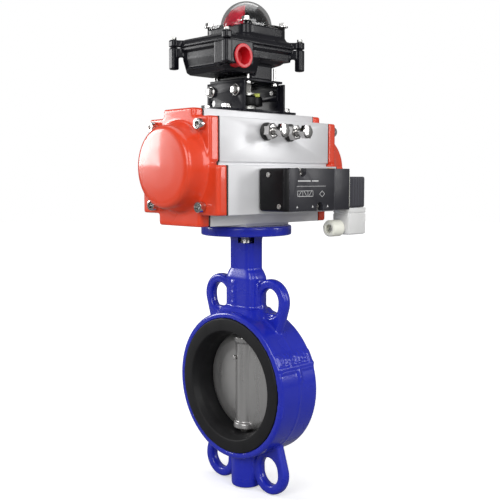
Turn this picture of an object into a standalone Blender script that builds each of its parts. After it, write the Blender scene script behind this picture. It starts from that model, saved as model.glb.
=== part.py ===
"""Wafer butterfly valve with a rack-and-pinion pneumatic actuator, a solenoid valve and a switch box.

The origin is the centre of the bore, on the axis of the stem. X runs along the pipe and along the
actuator, -Y is the side of the solenoid valve, and +Z is up along the stem. Units are metres.
The valve is closed: the disc stands across the bore.
"""

import math

import bmesh
import bpy
from mathutils import Matrix, Vector

MM = 0.001
GAP = 0.3 * MM

# Wafer body and liner
RING_RADIUS = 73.4 * MM
RING_HALF_WIDTH = 25.2 * MM
SEAT_HALF_WIDTH = 26.0 * MM
SEAT_FACE_RADIUS = 67.2 * MM
SEAT_OUTER_RADIUS = 60.0 * MM
SEAT_BORE_RADIUS = 50.4 * MM
SEAT_MOUTH_RADIUS = 52.2 * MM
SEAT_LIP_DEPTH = 3.2 * MM
LUG_CENTRE_Y = 35.5 * MM
LUG_CENTRE_Z = 86.0 * MM
LUG_RADIUS = 21.8 * MM
LUG_HOLE_RADIUS = 12.2 * MM
LUG_THICKNESS = 10.0 * MM
LUG_ROOT_Y = 40.0 * MM
LUG_ROOT_Z = 58.0 * MM
LUG_ROOT_RADIUS = 9.0 * MM
RING_STEPS = 44
NECK_HALVES = (10.5 * MM, 15.5 * MM)
NECK_START = 80.0 * MM
SHANK_HALVES = (12.6 * MM, 20.0 * MM)
SHANK_TOP = 108.0 * MM
COLLAR_TOP = 114.0 * MM
SADDLE_FOOT_HALVES = (22.0 * MM, 30.0 * MM)
SADDLE_HALVES = (16.0 * MM, 24.0 * MM)
SADDLE_START = 63.0 * MM
SADDLE_TOP = 78.0 * MM
BOSS_RADIUS = 15.3 * MM
FLANGE_TOP = 159.3 * MM
FLANGE_THICKNESS = 9.6 * MM
FLANGE_RADIUS = 45.0 * MM
FLANGE_BOLT_OFFSET = 24.75 * MM
FLANGE_SCREW_RADIUS = 4.0 * MM
FLANGE_HEAD_RADIUS = 6.5 * MM
FLANGE_HEAD_HEIGHT = 4.8 * MM
FLANGE_SCREW_TOP = 171.0 * MM
SPIGOT_RADIUS = 27.3 * MM
SPIGOT_DEPTH = 2.0 * MM
BOSS_BOTTOM = -107.0 * MM
WINDOW_LOW = 141.5 * MM
WINDOW_HIGH = 148.0 * MM
WINDOW_HALF_WIDTH = 8.1 * MM

# Disc and stem
DISC_RADIUS = 49.8 * MM
DISC_HUB_RADIUS = 10.6 * MM
DISC_HUB_TOP = 48.4 * MM
STEM_RADIUS = 7.9 * MM
STEM_LOWER_RADIUS = 6.0 * MM
STEM_STEP = 50.3 * MM
STEM_BOTTOM = -90.0 * MM
STEM_SQUARE = 11.2 * MM
STEM_TOP = 176.0 * MM
PIN_Y = 6.2 * MM
PIN_Z = 25.0 * MM
PIN_RADIUS = 2.3 * MM
BUSHING_RADIUS = 10.2 * MM
LOWER_BUSHING_RADIUS = 8.5 * MM

# Actuator
BODY_HALF_LENGTH = 74.0 * MM
BODY_BOTTOM = 161.5 * MM
BODY_TOP = 268.8 * MM
FOOT_HALF = 30.0 * MM
FOOT_TOP = 172.4 * MM
LOWER_HALF = 53.9 * MM
STEP_LOW = 217.0 * MM
GROOVE_HALF = 40.6 * MM
STEP_HIGH = 220.2 * MM
UPPER_HALF = 42.8 * MM
SHOULDER = 260.6 * MM
RAIL_HALF = 21.8 * MM
BORE_RADIUS = 38.0 * MM
BORE_Z = 215.5 * MM
CAP_START = 75.6 * MM
CAP_FACE = 87.0 * MM
DOME_FACE = 107.0 * MM
CAP_SCREW_Y = 34.0 * MM
CAP_SCREW_Z = (253.0 * MM, 180.0 * MM)
GEAR_MODULE = 2.0 * MM
GEAR_TEETH = 14
PITCH_RADIUS = GEAR_MODULE * GEAR_TEETH / 2
ADDENDUM = 0.8 * GEAR_MODULE
DEDENDUM = 1.1 * GEAR_MODULE
BACKLASH = 0.5 * MM
PRESSURE_ANGLE = math.radians(20)
GEAR_HALF_HEIGHT = 9.5 * MM
PISTON_RADIUS = 37.2 * MM
PISTON_INNER_X = 30.0 * MM
PISTON_OUTER_X = 45.0 * MM
RACK_END_X = 28.0 * MM
RACK_BACK_Y = 24.0 * MM
PINION_RADIUS = 10.0 * MM
PINION_TOP = 288.0 * MM
COLLAR_RADIUS = 12.2 * MM
BEARING_RADIUS = 13.1 * MM
PINION_WAY_RADIUS = 13.4 * MM
CAM_LOW = 240.0 * MM
CAM_HIGH = 247.4 * MM
CAM_HUB_RADIUS = 13.0 * MM
CAM_LOBE_RADIUS = 19.3 * MM
CAM_SECTOR = (math.radians(-14), math.radians(104))
INDICATOR_LOW = 276.0 * MM
INDICATOR_HIGH = 286.0 * MM
INDICATOR_RADIUS = 16.0 * MM
STOP_X = 16.0 * MM
STOP_Z = 249.0 * MM
STOP_TIP_Y = 5.0 * MM
STOP_HEAD_Y = 68.0 * MM
STOP_HEAD_LENGTH = 5.3 * MM
STOP_RADIUS = 4.0 * MM
STOP_HEX_RADIUS = 7.5 * MM
STOP_RING_RADIUS = 8.6 * MM
STOP_RING_LENGTH = 2.8 * MM
STOP_NUT_LENGTH = 7.0 * MM

# Solenoid valve
NAMUR_Z = 195.0 * MM
PORT_SPACING = 24.0 * MM
NAMUR_SCREW_SPACING = 32.0 * MM
VALVE_BACK = 54.2 * MM
VALVE_FRONT = 86.0 * MM
VALVE_LEFT = -30.0 * MM
VALVE_RIGHT = 32.4 * MM
VALVE_HALF_HEIGHT = 19.6 * MM
COVER_LEFT = -37.0 * MM
PILOT_RIGHT = 55.6 * MM
SPOOL_Y = 66.0 * MM
PORT_RADIUS = 5.5 * MM
NOTCH_RADIUS = 4.6 * MM
NOTCH_FLOOR = 62.0 * MM
BUTTON_X = 44.0 * MM
BUTTON_Y = 71.0 * MM
BUTTON_RADIUS = 2.9 * MM
COIL_Y = 71.5 * MM
COIL_Z = 192.0 * MM
COIL_RIGHT = 80.0 * MM
COIL_NUT_RIGHT = 85.0 * MM
CORE_RADIUS = 4.0 * MM
PLUG_CENTRE = (69.6 * MM, -75.0 * MM)
PLUG_HALVES = (13.6 * MM, 10.4 * MM)
PLUG_LOW = 150.4 * MM
PLUG_HIGH = 176.6 * MM
GLAND_Y = 74.0 * MM
GLAND_ALTITUDE = 157.0 * MM
GLAND_END = 38.6 * MM
CABLE_RADIUS = 4.2 * MM

# Switch box and its bracket
BRACKET_HALF_X = 28.0 * MM
BRACKET_HALF_Y = 26.0 * MM
BRACKET_SHEET = 2.2 * MM
BRACKET_TOP = 299.7 * MM
BRACKET_FOOT_X = 50.0 * MM
BRACKET_FOOT_Y = 20.5 * MM
BRACKET_SIDE_TOP = 297.0 * MM
BRACKET_BOLTS_Y = (-15.0 * MM, 20.0 * MM)
BRACKET_BOLT_Z = 289.0 * MM
BOLT_WAY = 2.8 * MM
BOX_CENTRE_X = -12.0 * MM
BOX_HALF_X = 45.0 * MM
BOX_HALF_Y = 34.0 * MM
POST_X = 48.5 * MM
POST_Y = 37.4 * MM
POST_HALF = 3.7 * MM
POST_LOW = 309.2 * MM
BOX_FLOOR = 303.6 * MM
BOX_STEP_X = -12.0 * MM
BOX_STEP = 312.0 * MM
PAD_X = (-18.0 * MM, 13.0 * MM)
ENTRY_X = (-60.8 * MM, -30.0 * MM)
ENTRY_FACE = 41.0 * MM
ENTRY_RADIUS = 9.6 * MM
BOX_WALL = 3.0 * MM
BOX_SPLIT = 330.0 * MM
BOX_TOP = 337.4 * MM
TURRET_HALF = 29.0 * MM
TURRET_TOP = 349.0 * MM
TURRET_ROOM_RADIUS = 23.0 * MM
DOME_RADIUS = 25.0 * MM
DOME_BASE = 351.6 * MM
DOME_WALL = 1.8 * MM
ROTOR_RADIUS = 22.5 * MM
ROTOR_BASE = 350.6 * MM
ROTOR_LOW = 341.0 * MM
PLUG_X = -44.0 * MM
PLUG_Z = 316.0 * MM
PLUG_RADIUS = 11.0 * MM

AXES = {"X": Vector((1, 0, 0)), "Y": Vector((0, 1, 0)), "Z": Vector((0, 0, 1))}

FINISHES = {
    "blue_enamel": ((0.015, 0.03, 0.42, 1), 0.28, 0.0),
    "seat_rubber": ((0.012, 0.012, 0.012, 1), 0.6, 0.0),
    "stainless": ((0.58, 0.57, 0.55, 1), 0.32, 1.0),
    "bronze": ((0.55, 0.36, 0.16, 1), 0.4, 1.0),
    "anodised": ((0.78, 0.78, 0.8, 1), 0.38, 1.0),
    "orange_enamel": ((0.72, 0.07, 0.02, 1), 0.25, 0.0),
    "chrome_screw": ((0.7, 0.7, 0.7, 1), 0.18, 1.0),
    "zinc_steel": ((0.5, 0.5, 0.5, 1), 0.4, 1.0),
    "black_plastic": ((0.02, 0.02, 0.024, 1), 0.45, 0.0),
    "coil_resin": ((0.05, 0.05, 0.055, 1), 0.5, 0.0),
    "clear_connector": ((0.82, 0.84, 0.82, 1), 0.3, 0.0),
    "gland_nylon": ((0.62, 0.63, 0.5, 1), 0.45, 0.0),
    "black_coat": ((0.015, 0.015, 0.017, 1), 0.4, 0.0),
    "clear_dome": ((0.8, 0.8, 0.8, 1), 0.05, 0.0),
    "beacon_red": ((0.45, 0.01, 0.02, 1), 0.3, 0.0),
    "plug_red": ((0.6, 0.01, 0.015, 1), 0.35, 0.0),
    "indicator_lime": ((0.6, 0.7, 0.1, 1), 0.4, 0.0),
}


def clear_scene():
    for obj in list(bpy.data.objects):
        bpy.data.objects.remove(obj, do_unlink=True)


def finish(name):
    material = bpy.data.materials.get(name)
    if material is None:
        colour, roughness, metallic = FINISHES[name]
        material = bpy.data.materials.new(name)
        material.use_nodes = True
        shader = material.node_tree.nodes["Principled BSDF"]
        shader.inputs["Base Color"].default_value = colour
        shader.inputs["Roughness"].default_value = roughness
        shader.inputs["Metallic"].default_value = metallic
    return material


# ---------------------------------------------------------------- solids


def solid(name, bm):
    """Close the mesh in bm, turn its faces outward and put it in the scene."""
    bmesh.ops.remove_doubles(bm, verts=bm.verts, dist=0.001 * MM)
    bmesh.ops.recalc_face_normals(bm, faces=bm.faces)
    mesh = bpy.data.meshes.new(name)
    bm.to_mesh(mesh)
    bm.free()
    obj = bpy.data.objects.new(name, mesh)
    bpy.context.scene.collection.objects.link(obj)
    return obj


def place(axis, a, b, along):
    """A point from its two cross coordinates and its place along the axis."""
    if axis == "X":
        return Vector((along, a, b))
    if axis == "Y":
        return Vector((a, along, b))
    return Vector((a, b, along))


def prism(name, outline, axis, low, high):
    """An outline pushed along an axis: (y, z) along X, (x, z) along Y, (x, y) along Z."""
    bm = bmesh.new()
    lower = [bm.verts.new(place(axis, a, b, low)) for a, b in outline]
    upper = [bm.verts.new(place(axis, a, b, high)) for a, b in outline]
    bm.faces.new(lower)
    bm.faces.new(upper)
    count = len(outline)
    for i in range(count):
        j = (i + 1) % count
        bm.faces.new((lower[i], lower[j], upper[j], upper[i]))
    return solid(name, bm)


def loft(name, lower_outline, upper_outline, low, high):
    """A solid between two outlines of equal count at two heights."""
    bm = bmesh.new()
    lower = [bm.verts.new((x, y, low)) for x, y in lower_outline]
    upper = [bm.verts.new((x, y, high)) for x, y in upper_outline]
    bm.faces.new(lower)
    bm.faces.new(upper)
    count = len(lower)
    for i in range(count):
        j = (i + 1) % count
        bm.faces.new((lower[i], lower[j], upper[j], upper[i]))
    return solid(name, bm)


def turned(name, profile, axis, steps, centre=(0, 0, 0)):
    """A closed profile of (radius, place along the axis) points turned round the axis."""
    bm = bmesh.new()
    points = [place(axis, radius, 0, along) for radius, along in profile]
    verts = [bm.verts.new(p) for p in points]
    edges = [bm.edges.new((verts[i], verts[(i + 1) % len(verts)])) for i in range(len(verts))]
    bmesh.ops.spin(
        bm, geom=verts + edges, cent=(0, 0, 0), axis=AXES[axis],
        angle=math.tau, steps=steps, use_merge=True,
    )
    drop_axis_faces(bm)
    bmesh.ops.translate(bm, verts=bm.verts, vec=centre)
    return solid(name, bm)


def drop_axis_faces(bm):
    """Edges on the axis leave flat slivers when spun: merging the points removes them."""
    bmesh.ops.remove_doubles(bm, verts=bm.verts, dist=0.001 * MM)
    bmesh.ops.dissolve_degenerate(bm, edges=bm.edges, dist=0.001 * MM)
    loose = [e for e in bm.edges if not e.link_faces]
    bmesh.ops.delete(bm, geom=loose, context="EDGES")


def rod(name, radius, axis, low, high, centre=(0, 0), steps=12):
    """A plain cylinder, its cross coordinates given by centre."""
    return prism(name, circle(radius, steps, centre), axis, low, high)


def tube(name, inner, outer, axis, low, high, steps=32, centre=(0, 0, 0)):
    profile = [(inner, low), (outer, low), (outer, high), (inner, high)]
    return turned(name, profile, axis, steps, centre)


def block(name, low, high):
    outline = [(low[0], low[1]), (high[0], low[1]), (high[0], high[1]), (low[0], high[1])]
    return prism(name, outline, "Z", low[2], high[2])


# ---------------------------------------------------------------- outlines


def circle(radius, steps, centre=(0, 0), start=0.0):
    turn = math.tau / steps
    return [
        (centre[0] + radius * math.cos(start + turn * i), centre[1] + radius * math.sin(start + turn * i))
        for i in range(steps)
    ]


def rounded_rectangle(half_a, half_b, radius, centre=(0, 0), steps=3):
    corners = [(1, 1, 0), (-1, 1, 90), (-1, -1, 180), (1, -1, 270)]
    points = []
    for sa, sb, first in corners:
        ca = centre[0] + sa * (half_a - radius)
        cb = centre[1] + sb * (half_b - radius)
        for i in range(steps + 1):
            angle = math.radians(first + 90 * i / steps)
            points.append((ca + radius * math.cos(angle), cb + radius * math.sin(angle)))
    return points


def hull_of_circles(big, big_radius, small, small_radius, steps=9):
    """The outline that a belt round two circles makes."""
    away = Vector(big) - Vector(small)
    heading = math.atan2(away.y, away.x)
    lean = math.acos((small_radius - big_radius) / away.length)
    points = []
    for i in range(steps + 1):
        angle = heading - lean + 2 * lean * i / steps
        points.append((big[0] + big_radius * math.cos(angle), big[1] + big_radius * math.sin(angle)))
    back = math.tau - 2 * lean
    for i in range(steps // 2 + 1):
        angle = heading + lean + back * i / (steps // 2)
        points.append((small[0] + small_radius * math.cos(angle), small[1] + small_radius * math.sin(angle)))
    return points


def body_section(inset=0.0):
    """Half-depth against height of the actuator's extrusion, as a closed outline in (y, z)."""
    right = [
        (FOOT_HALF, BODY_BOTTOM), (FOOT_HALF, FOOT_TOP), (LOWER_HALF, FOOT_TOP),
        (LOWER_HALF, STEP_LOW), (GROOVE_HALF, STEP_LOW), (GROOVE_HALF, STEP_HIGH),
        (UPPER_HALF, STEP_HIGH), (UPPER_HALF, SHOULDER), (RAIL_HALF, SHOULDER),
        (RAIL_HALF, BODY_TOP),
    ]
    return [(y - inset, z) for y, z in right] + [(inset - y, z) for y, z in reversed(right)]


# ---------------------------------------------------------------- joining and cutting


def combine(obj, others, operation):
    """Boolean each of the others into obj, and remove them."""
    for other in others:
        modifier = obj.modifiers.new("Combine", "BOOLEAN")
        modifier.operation = operation
        modifier.solver = "EXACT"
        modifier.object = other
        graph = bpy.context.evaluated_depsgraph_get()
        mesh = bpy.data.meshes.new_from_object(obj.evaluated_get(graph))
        obj.modifiers.clear()
        obj.data = mesh
        bpy.data.objects.remove(other, do_unlink=True)
    return obj


def cut(obj, *tools):
    return combine(obj, tools, "DIFFERENCE")


def join(obj, *pieces):
    return combine(obj, pieces, "UNION")


def done(obj, finish_name, smooth=False, origin=None):
    """Give the piece its finish, its shading and, when it moves, an origin on its joint's axis."""
    obj.data.name = obj.name
    obj.data.materials.clear()
    obj.data.materials.append(finish(finish_name))
    if smooth:
        obj.data.shade_smooth()
        obj.data.set_sharp_from_angle(angle=math.radians(35))
    if origin is not None:
        obj.data.transform(Matrix.Translation(-Vector(origin)))
        obj.location = origin
    return obj


# ---------------------------------------------------------------- wafer body


def lug(name, side_y, side_z):
    """A locating eye that goes round one pipe-flange bolt."""
    outline = hull_of_circles(
        (side_y * LUG_CENTRE_Y, side_z * LUG_CENTRE_Z), LUG_RADIUS,
        (side_y * LUG_ROOT_Y, side_z * LUG_ROOT_Z), LUG_ROOT_RADIUS,
    )
    return prism(name, outline, "X", -LUG_THICKNESS / 2, LUG_THICKNESS / 2)


def lug_hole(side_y, side_z):
    outline = hull_of_circles(
        (side_y * LUG_CENTRE_Y, side_z * LUG_CENTRE_Z), LUG_HOLE_RADIUS,
        (side_y * 35 * MM, side_z * 83.4 * MM), LUG_HOLE_RADIUS - 0.2 * MM,
    )
    return prism("lug_hole", outline, "X", -LUG_THICKNESS, LUG_THICKNESS)


def make_valve_body():
    edge = 1.4 * MM
    seat_room = SEAT_OUTER_RADIUS + GAP
    lip_room = SEAT_FACE_RADIUS + GAP
    lip_floor = SEAT_HALF_WIDTH - SEAT_LIP_DEPTH - GAP
    profile = [
        (lip_room, -RING_HALF_WIDTH), (RING_RADIUS - edge, -RING_HALF_WIDTH),
        (RING_RADIUS, -RING_HALF_WIDTH + edge), (RING_RADIUS, RING_HALF_WIDTH - edge),
        (RING_RADIUS - edge, RING_HALF_WIDTH), (lip_room, RING_HALF_WIDTH), (lip_room, lip_floor),
        (seat_room, lip_floor), (seat_room, -lip_floor), (lip_room, -lip_floor),
    ]
    body = turned("valve_body", profile, "X", RING_STEPS)
    flange_low = FLANGE_TOP - FLANGE_THICKNESS
    neck = prism("neck", rounded_rectangle(*NECK_HALVES, 5 * MM), "Z", NECK_START, flange_low + MM)
    collar = loft(
        "collar", rounded_rectangle(*SHANK_HALVES, 6 * MM), rounded_rectangle(11 * MM, 17.5 * MM, 5 * MM),
        SHANK_TOP, COLLAR_TOP,
    )
    shank = prism("shank", rounded_rectangle(*SHANK_HALVES, 6 * MM), "Z", SADDLE_START, SHANK_TOP + 0.5 * MM)
    saddle = loft(
        "saddle", rounded_rectangle(*SADDLE_FOOT_HALVES, 6 * MM), rounded_rectangle(*SADDLE_HALVES, 6 * MM),
        SADDLE_START, SADDLE_TOP,
    )
    boss_edge = 1.6 * MM
    boss_profile = [
        (0, BOSS_BOTTOM), (BOSS_RADIUS - boss_edge, BOSS_BOTTOM), (BOSS_RADIUS, BOSS_BOTTOM + boss_edge),
        (BOSS_RADIUS, -SADDLE_START), (0, -SADDLE_START),
    ]
    boss = turned("boss", boss_profile, "Z", 20)
    flange = rod("flange", FLANGE_RADIUS, "Z", flange_low, FLANGE_TOP, steps=36)
    lugs = [lug("lug", sy, sz) for sy in (1, -1) for sz in (1, -1)]
    join(body, saddle, shank, collar, neck, flange, boss, *lugs)
    cut(body, *[lug_hole(sy, sz) for sy in (1, -1) for sz in (1, -1)])
    cut(body, *valve_body_bores())
    return done(body, "blue_enamel", smooth=True)


def valve_body_bores():
    pocket = BUSHING_RADIUS + GAP
    upper = rod("upper", pocket, "Z", 50 * MM, 80 * MM, steps=20)
    stem_way = rod("stem_way", STEM_RADIUS + 0.4 * MM, "Z", 50 * MM, FLANGE_TOP + MM, steps=20)
    recess = rod("recess", SPIGOT_RADIUS + GAP, "Z", FLANGE_TOP - SPIGOT_DEPTH, FLANGE_TOP + MM, steps=28)
    lower = rod("lower", LOWER_BUSHING_RADIUS + GAP, "Z", STEM_BOTTOM - 1.5 * MM, -50 * MM, steps=20)
    window = prism("window", window_outline(), "Z", WINDOW_LOW, WINDOW_HIGH)
    flange_low = FLANGE_TOP - FLANGE_THICKNESS
    room_top = flange_low + FLANGE_HEAD_HEIGHT + 0.6 * MM
    screws = []
    for centre in flange_bolt_places():
        way = FLANGE_SCREW_RADIUS + 0.5 * MM
        screws.append(rod("way", way, "Z", flange_low - MM, FLANGE_TOP + MM, centre, 12))
        head_room = FLANGE_HEAD_RADIUS + 0.6 * MM
        screws.append(rod("head_room", head_room, "Z", flange_low - MM, room_top, centre, 14))
    return [upper, stem_way, recess, lower, window] + screws


def window_outline():
    """A slot in (x, y) from the stem out through the neck's front left corner."""
    outward = Vector((-1, -1)).normalized()
    across = Vector((-outward.y, outward.x)) * WINDOW_HALF_WIDTH
    end = outward * 30 * MM
    return [tuple(across), tuple(end + across), tuple(end - across), tuple(-across)]


def flange_bolt_places():
    offset = FLANGE_BOLT_OFFSET
    return [(sx * offset, sy * offset) for sx in (-1, 1) for sy in (-1, 1)]


def make_seat_liner():
    half = SEAT_HALF_WIDTH
    lip = half - SEAT_LIP_DEPTH
    profile = [
        (SEAT_BORE_RADIUS, -14 * MM), (SEAT_MOUTH_RADIUS, -half + 1.5 * MM),
        (SEAT_MOUTH_RADIUS + 1.2 * MM, -half), (SEAT_FACE_RADIUS, -half), (SEAT_FACE_RADIUS, -lip),
        (SEAT_OUTER_RADIUS, -lip), (SEAT_OUTER_RADIUS, lip), (SEAT_FACE_RADIUS, lip),
        (SEAT_FACE_RADIUS, half), (SEAT_MOUTH_RADIUS + 1.2 * MM, half),
        (SEAT_MOUTH_RADIUS, half - 1.5 * MM), (SEAT_BORE_RADIUS, 14 * MM),
    ]
    seat = turned("seat_liner", profile, "X", RING_STEPS)
    top = rod("top", STEM_RADIUS + GAP, "Z", 40 * MM, 70 * MM, steps=20)
    bottom = rod("bottom", STEM_LOWER_RADIUS + GAP, "Z", -70 * MM, -40 * MM, steps=16)
    cut(seat, top, bottom)
    return done(seat, "seat_rubber", smooth=True)


# ---------------------------------------------------------------- disc and stem


def make_disc():
    rim = 2.6 * MM
    profile = [
        (0, -7.0 * MM), (46 * MM, -4.0 * MM), (DISC_RADIUS, -rim / 2),
        (DISC_RADIUS, rim / 2), (46 * MM, 4.0 * MM), (0, 7.0 * MM),
    ]
    disc = turned("disc", profile, "X", RING_STEPS)
    hub = rod("hub", DISC_HUB_RADIUS, "Z", -DISC_HUB_TOP, DISC_HUB_TOP, steps=20)
    join(disc, hub)
    way = rod("way", STEM_LOWER_RADIUS + GAP, "Z", -60 * MM, 60 * MM, steps=16)
    pin_way = rod("pin_way", PIN_RADIUS + GAP, "X", -20 * MM, 20 * MM, (PIN_Y, PIN_Z), 10)
    cut(disc, way, pin_way)
    return done(disc, "stainless", smooth=True)


def make_stem():
    step = STEM_STEP
    profile = [
        (0, STEM_BOTTOM), (STEM_LOWER_RADIUS - MM, STEM_BOTTOM), (STEM_LOWER_RADIUS, STEM_BOTTOM + MM),
        (STEM_LOWER_RADIUS, step), (STEM_RADIUS, step), (STEM_RADIUS, FLANGE_TOP - MM), (0, FLANGE_TOP - MM),
    ]
    stem = turned("stem", profile, "Z", 18)
    half = STEM_SQUARE / 2
    square = prism("square", rounded_rectangle(half, half, MM, steps=2), "Z", FLANGE_TOP - 3 * MM, STEM_TOP)
    join(stem, square)
    pin_way = rod("pin_way", PIN_RADIUS + GAP, "X", -20 * MM, 20 * MM, (PIN_Y, PIN_Z), 10)
    cut(stem, pin_way)
    return done(stem, "stainless", smooth=True)


def make_taper_pin():
    reach = 11.4 * MM
    profile = [(0, -reach), (PIN_RADIUS, -reach), (PIN_RADIUS - 0.3 * MM, reach), (0, reach)]
    pin = turned("taper_pin", profile, "X", 10, (0, PIN_Y, PIN_Z))
    return done(pin, "zinc_steel", smooth=True, origin=(0, 0, 0))


def make_stem_rings():
    """Bushings that carry the stem, and the ring that seals it."""
    inner = STEM_RADIUS + GAP
    done(tube("upper_bushing", inner, BUSHING_RADIUS, "Z", 60.8 * MM, 74 * MM, 18), "bronze", True)
    done(tube("stem_seal", inner, BUSHING_RADIUS, "Z", 74.4 * MM, 79.4 * MM, 18), "seat_rubber", True)
    inner = STEM_LOWER_RADIUS + GAP
    done(tube("lower_bushing", inner, LOWER_BUSHING_RADIUS, "Z", -84 * MM, -61 * MM, 16), "bronze", True)


def make_flange_screws():
    """Low-head screws that go up through the valve flange into the actuator."""
    head_low = FLANGE_TOP - FLANGE_THICKNESS + 0.2 * MM
    for number, (x, y) in enumerate(flange_bolt_places(), 1):
        head_top = head_low + FLANGE_HEAD_HEIGHT
        profile = [
            (0, head_low), (FLANGE_HEAD_RADIUS, head_low), (FLANGE_HEAD_RADIUS, head_top),
            (FLANGE_SCREW_RADIUS, head_top), (FLANGE_SCREW_RADIUS, FLANGE_SCREW_TOP), (0, FLANGE_SCREW_TOP),
        ]
        screw = turned(f"flange_screw_{number}", profile, "Z", 10, (x, y, 0))
        socket = rod("socket", 2.9 * MM, "Z", head_low - MM, head_low + 2.6 * MM, (x, y), 6)
        cut(screw, socket)
        done(screw, "zinc_steel", smooth=True)


# ---------------------------------------------------------------- actuator shell


def make_actuator_body():
    half = BODY_HALF_LENGTH
    body = prism("actuator_body", body_section(), "X", -half, half)
    pad = rod("pad", 42 * MM, "Z", FLANGE_TOP + GAP, BODY_BOTTOM + MM, steps=28)
    spigot = rod("spigot", SPIGOT_RADIUS, "Z", FLANGE_TOP - SPIGOT_DEPTH + GAP, BODY_BOTTOM + MM, steps=28)
    keep = block("keep", (-half, -FOOT_HALF, 150 * MM), (half, FOOT_HALF, FOOT_TOP))
    combine(pad, [keep], "INTERSECT")
    join(body, pad, spigot)
    cut(body, *actuator_bores())
    return done(body, "anodised", smooth=True)


def actuator_bores():
    half = BODY_HALF_LENGTH
    cylinder = rod("cylinder", BORE_RADIUS, "X", -half - MM, half + MM, (0, BORE_Z), 36)
    lower = rod("lower", PINION_WAY_RADIUS, "Z", 150 * MM, BORE_Z, steps=18)
    upper = rod("upper", PINION_WAY_RADIUS, "Z", BORE_Z, BODY_TOP + MM, steps=18)
    tools = [cylinder, lower, upper]
    for x, y in flange_bolt_places():
        tools.append(rod("thread", 4.3 * MM, "Z", 150 * MM, 172 * MM, (x, y), 10))
    for y, z in cap_screw_places():
        tools.append(rod("thread", 3.4 * MM, "X", -half - MM, -half + 16 * MM, (y, z), 8))
        tools.append(rod("thread", 3.4 * MM, "X", half - 16 * MM, half + MM, (y, z), 8))
    for side in (-1, 1):
        tools.append(rod("stop_way", 4.4 * MM, "Y", -UPPER_HALF - MM, -5 * MM, (side * STOP_X, STOP_Z), 12))
    port_x = PORT_SPACING / 2
    tools.append(rod("port_a", PORT_RADIUS, "Y", -LOWER_HALF - MM, -20 * MM, (port_x, NAMUR_Z), 12))
    tools.append(rod("port_b", PORT_RADIUS, "Y", -LOWER_HALF - MM, -42 * MM, (-port_x, NAMUR_Z), 12))
    tools.append(rod("channel", 2.5 * MM, "X", -half - MM, -4 * MM, (-45 * MM, NAMUR_Z), 8))
    for x, z in namur_screw_places():
        tools.append(rod("thread", 2.8 * MM, "Y", -LOWER_HALF - MM, -LOWER_HALF + 10 * MM, (x, z), 8))
    return tools


def cap_screw_places():
    return [(sy * CAP_SCREW_Y, z) for sy in (-1, 1) for z in CAP_SCREW_Z]


def namur_screw_places():
    half_x = PORT_SPACING / 2
    half_z = NAMUR_SCREW_SPACING / 2
    return [(-half_x, NAMUR_Z + half_z), (half_x, NAMUR_Z - half_z)]


def make_end_cap(name, side):
    outline = body_section()
    plate = prism(name, outline, "X", side * CAP_START, side * CAP_FACE)
    profile = [
        (0, CAP_START + MM), (41 * MM, CAP_START + MM), (41 * MM, CAP_FACE + MM),
        (38.6 * MM, CAP_FACE + 6 * MM), (37.4 * MM, DOME_FACE - 3 * MM), (34.5 * MM, DOME_FACE),
        (0, DOME_FACE + 0.8 * MM),
    ]
    dome = turned("dome", [(r, side * x) for r, x in profile], "X", 32, (0, 0, BORE_Z))
    join(plate, dome)
    room = [
        (0, CAP_START - MM), (36 * MM, CAP_START - MM), (34.4 * MM, DOME_FACE - 4 * MM),
        (0, DOME_FACE - 3 * MM),
    ]
    hollow = turned("hollow", [(r, side * x) for r, x in room], "X", 28, (0, 0, BORE_Z))
    tools = [hollow]
    for y, z in cap_screw_places():
        low, high = sorted((side * (CAP_START - MM), side * (CAP_FACE + MM)))
        tools.append(rod("way", 3.5 * MM, "X", low, high, (y, z), 8))
    cut(plate, *tools)
    return done(plate, "orange_enamel", smooth=True)


def make_cap_gasket(name, side):
    low, high = sorted((side * (BODY_HALF_LENGTH + GAP), side * (CAP_START - GAP)))
    outer = prism(name, body_section(0.6 * MM), "X", low, high)
    tools = [rod("opening", BORE_RADIUS + GAP, "X", low - MM, high + MM, (0, BORE_Z), 28)]
    for y, z in cap_screw_places():
        tools.append(rod("way", 3.5 * MM, "X", low - MM, high + MM, (y, z), 8))
    cut(outer, *tools)
    return done(outer, "seat_rubber")


def make_cap_screws(side, label):
    under = CAP_FACE + GAP
    for number, (y, z) in enumerate(cap_screw_places(), 1):
        profile = [
            (0, BODY_HALF_LENGTH - 14 * MM), (3 * MM, BODY_HALF_LENGTH - 14 * MM), (3 * MM, under),
            (5 * MM, under), (5 * MM, under + 6.4 * MM), (0, under + 6.4 * MM),
        ]
        screw = turned(f"cap_screw_{label}_{number}", [(r, side * x) for r, x in profile], "X", 10, (0, y, z))
        low, high = sorted((side * (under + 2.8 * MM), side * (under + 8 * MM)))
        cut(screw, rod("socket", 2.9 * MM, "X", low, high, (y, z), 6))
        done(screw, "chrome_screw", smooth=True)


# ---------------------------------------------------------------- actuator drive


def involute_flank(base, tip, steps=3):
    """(radius, polar angle) points of one involute flank from the base circle to the tip circle."""
    points = []
    for i in range(steps + 1):
        radius = base + (tip - base) * i / steps
        roll = math.sqrt(max((radius / base) ** 2 - 1, 0))
        points.append((radius, roll - math.atan(roll)))
    return points


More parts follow.
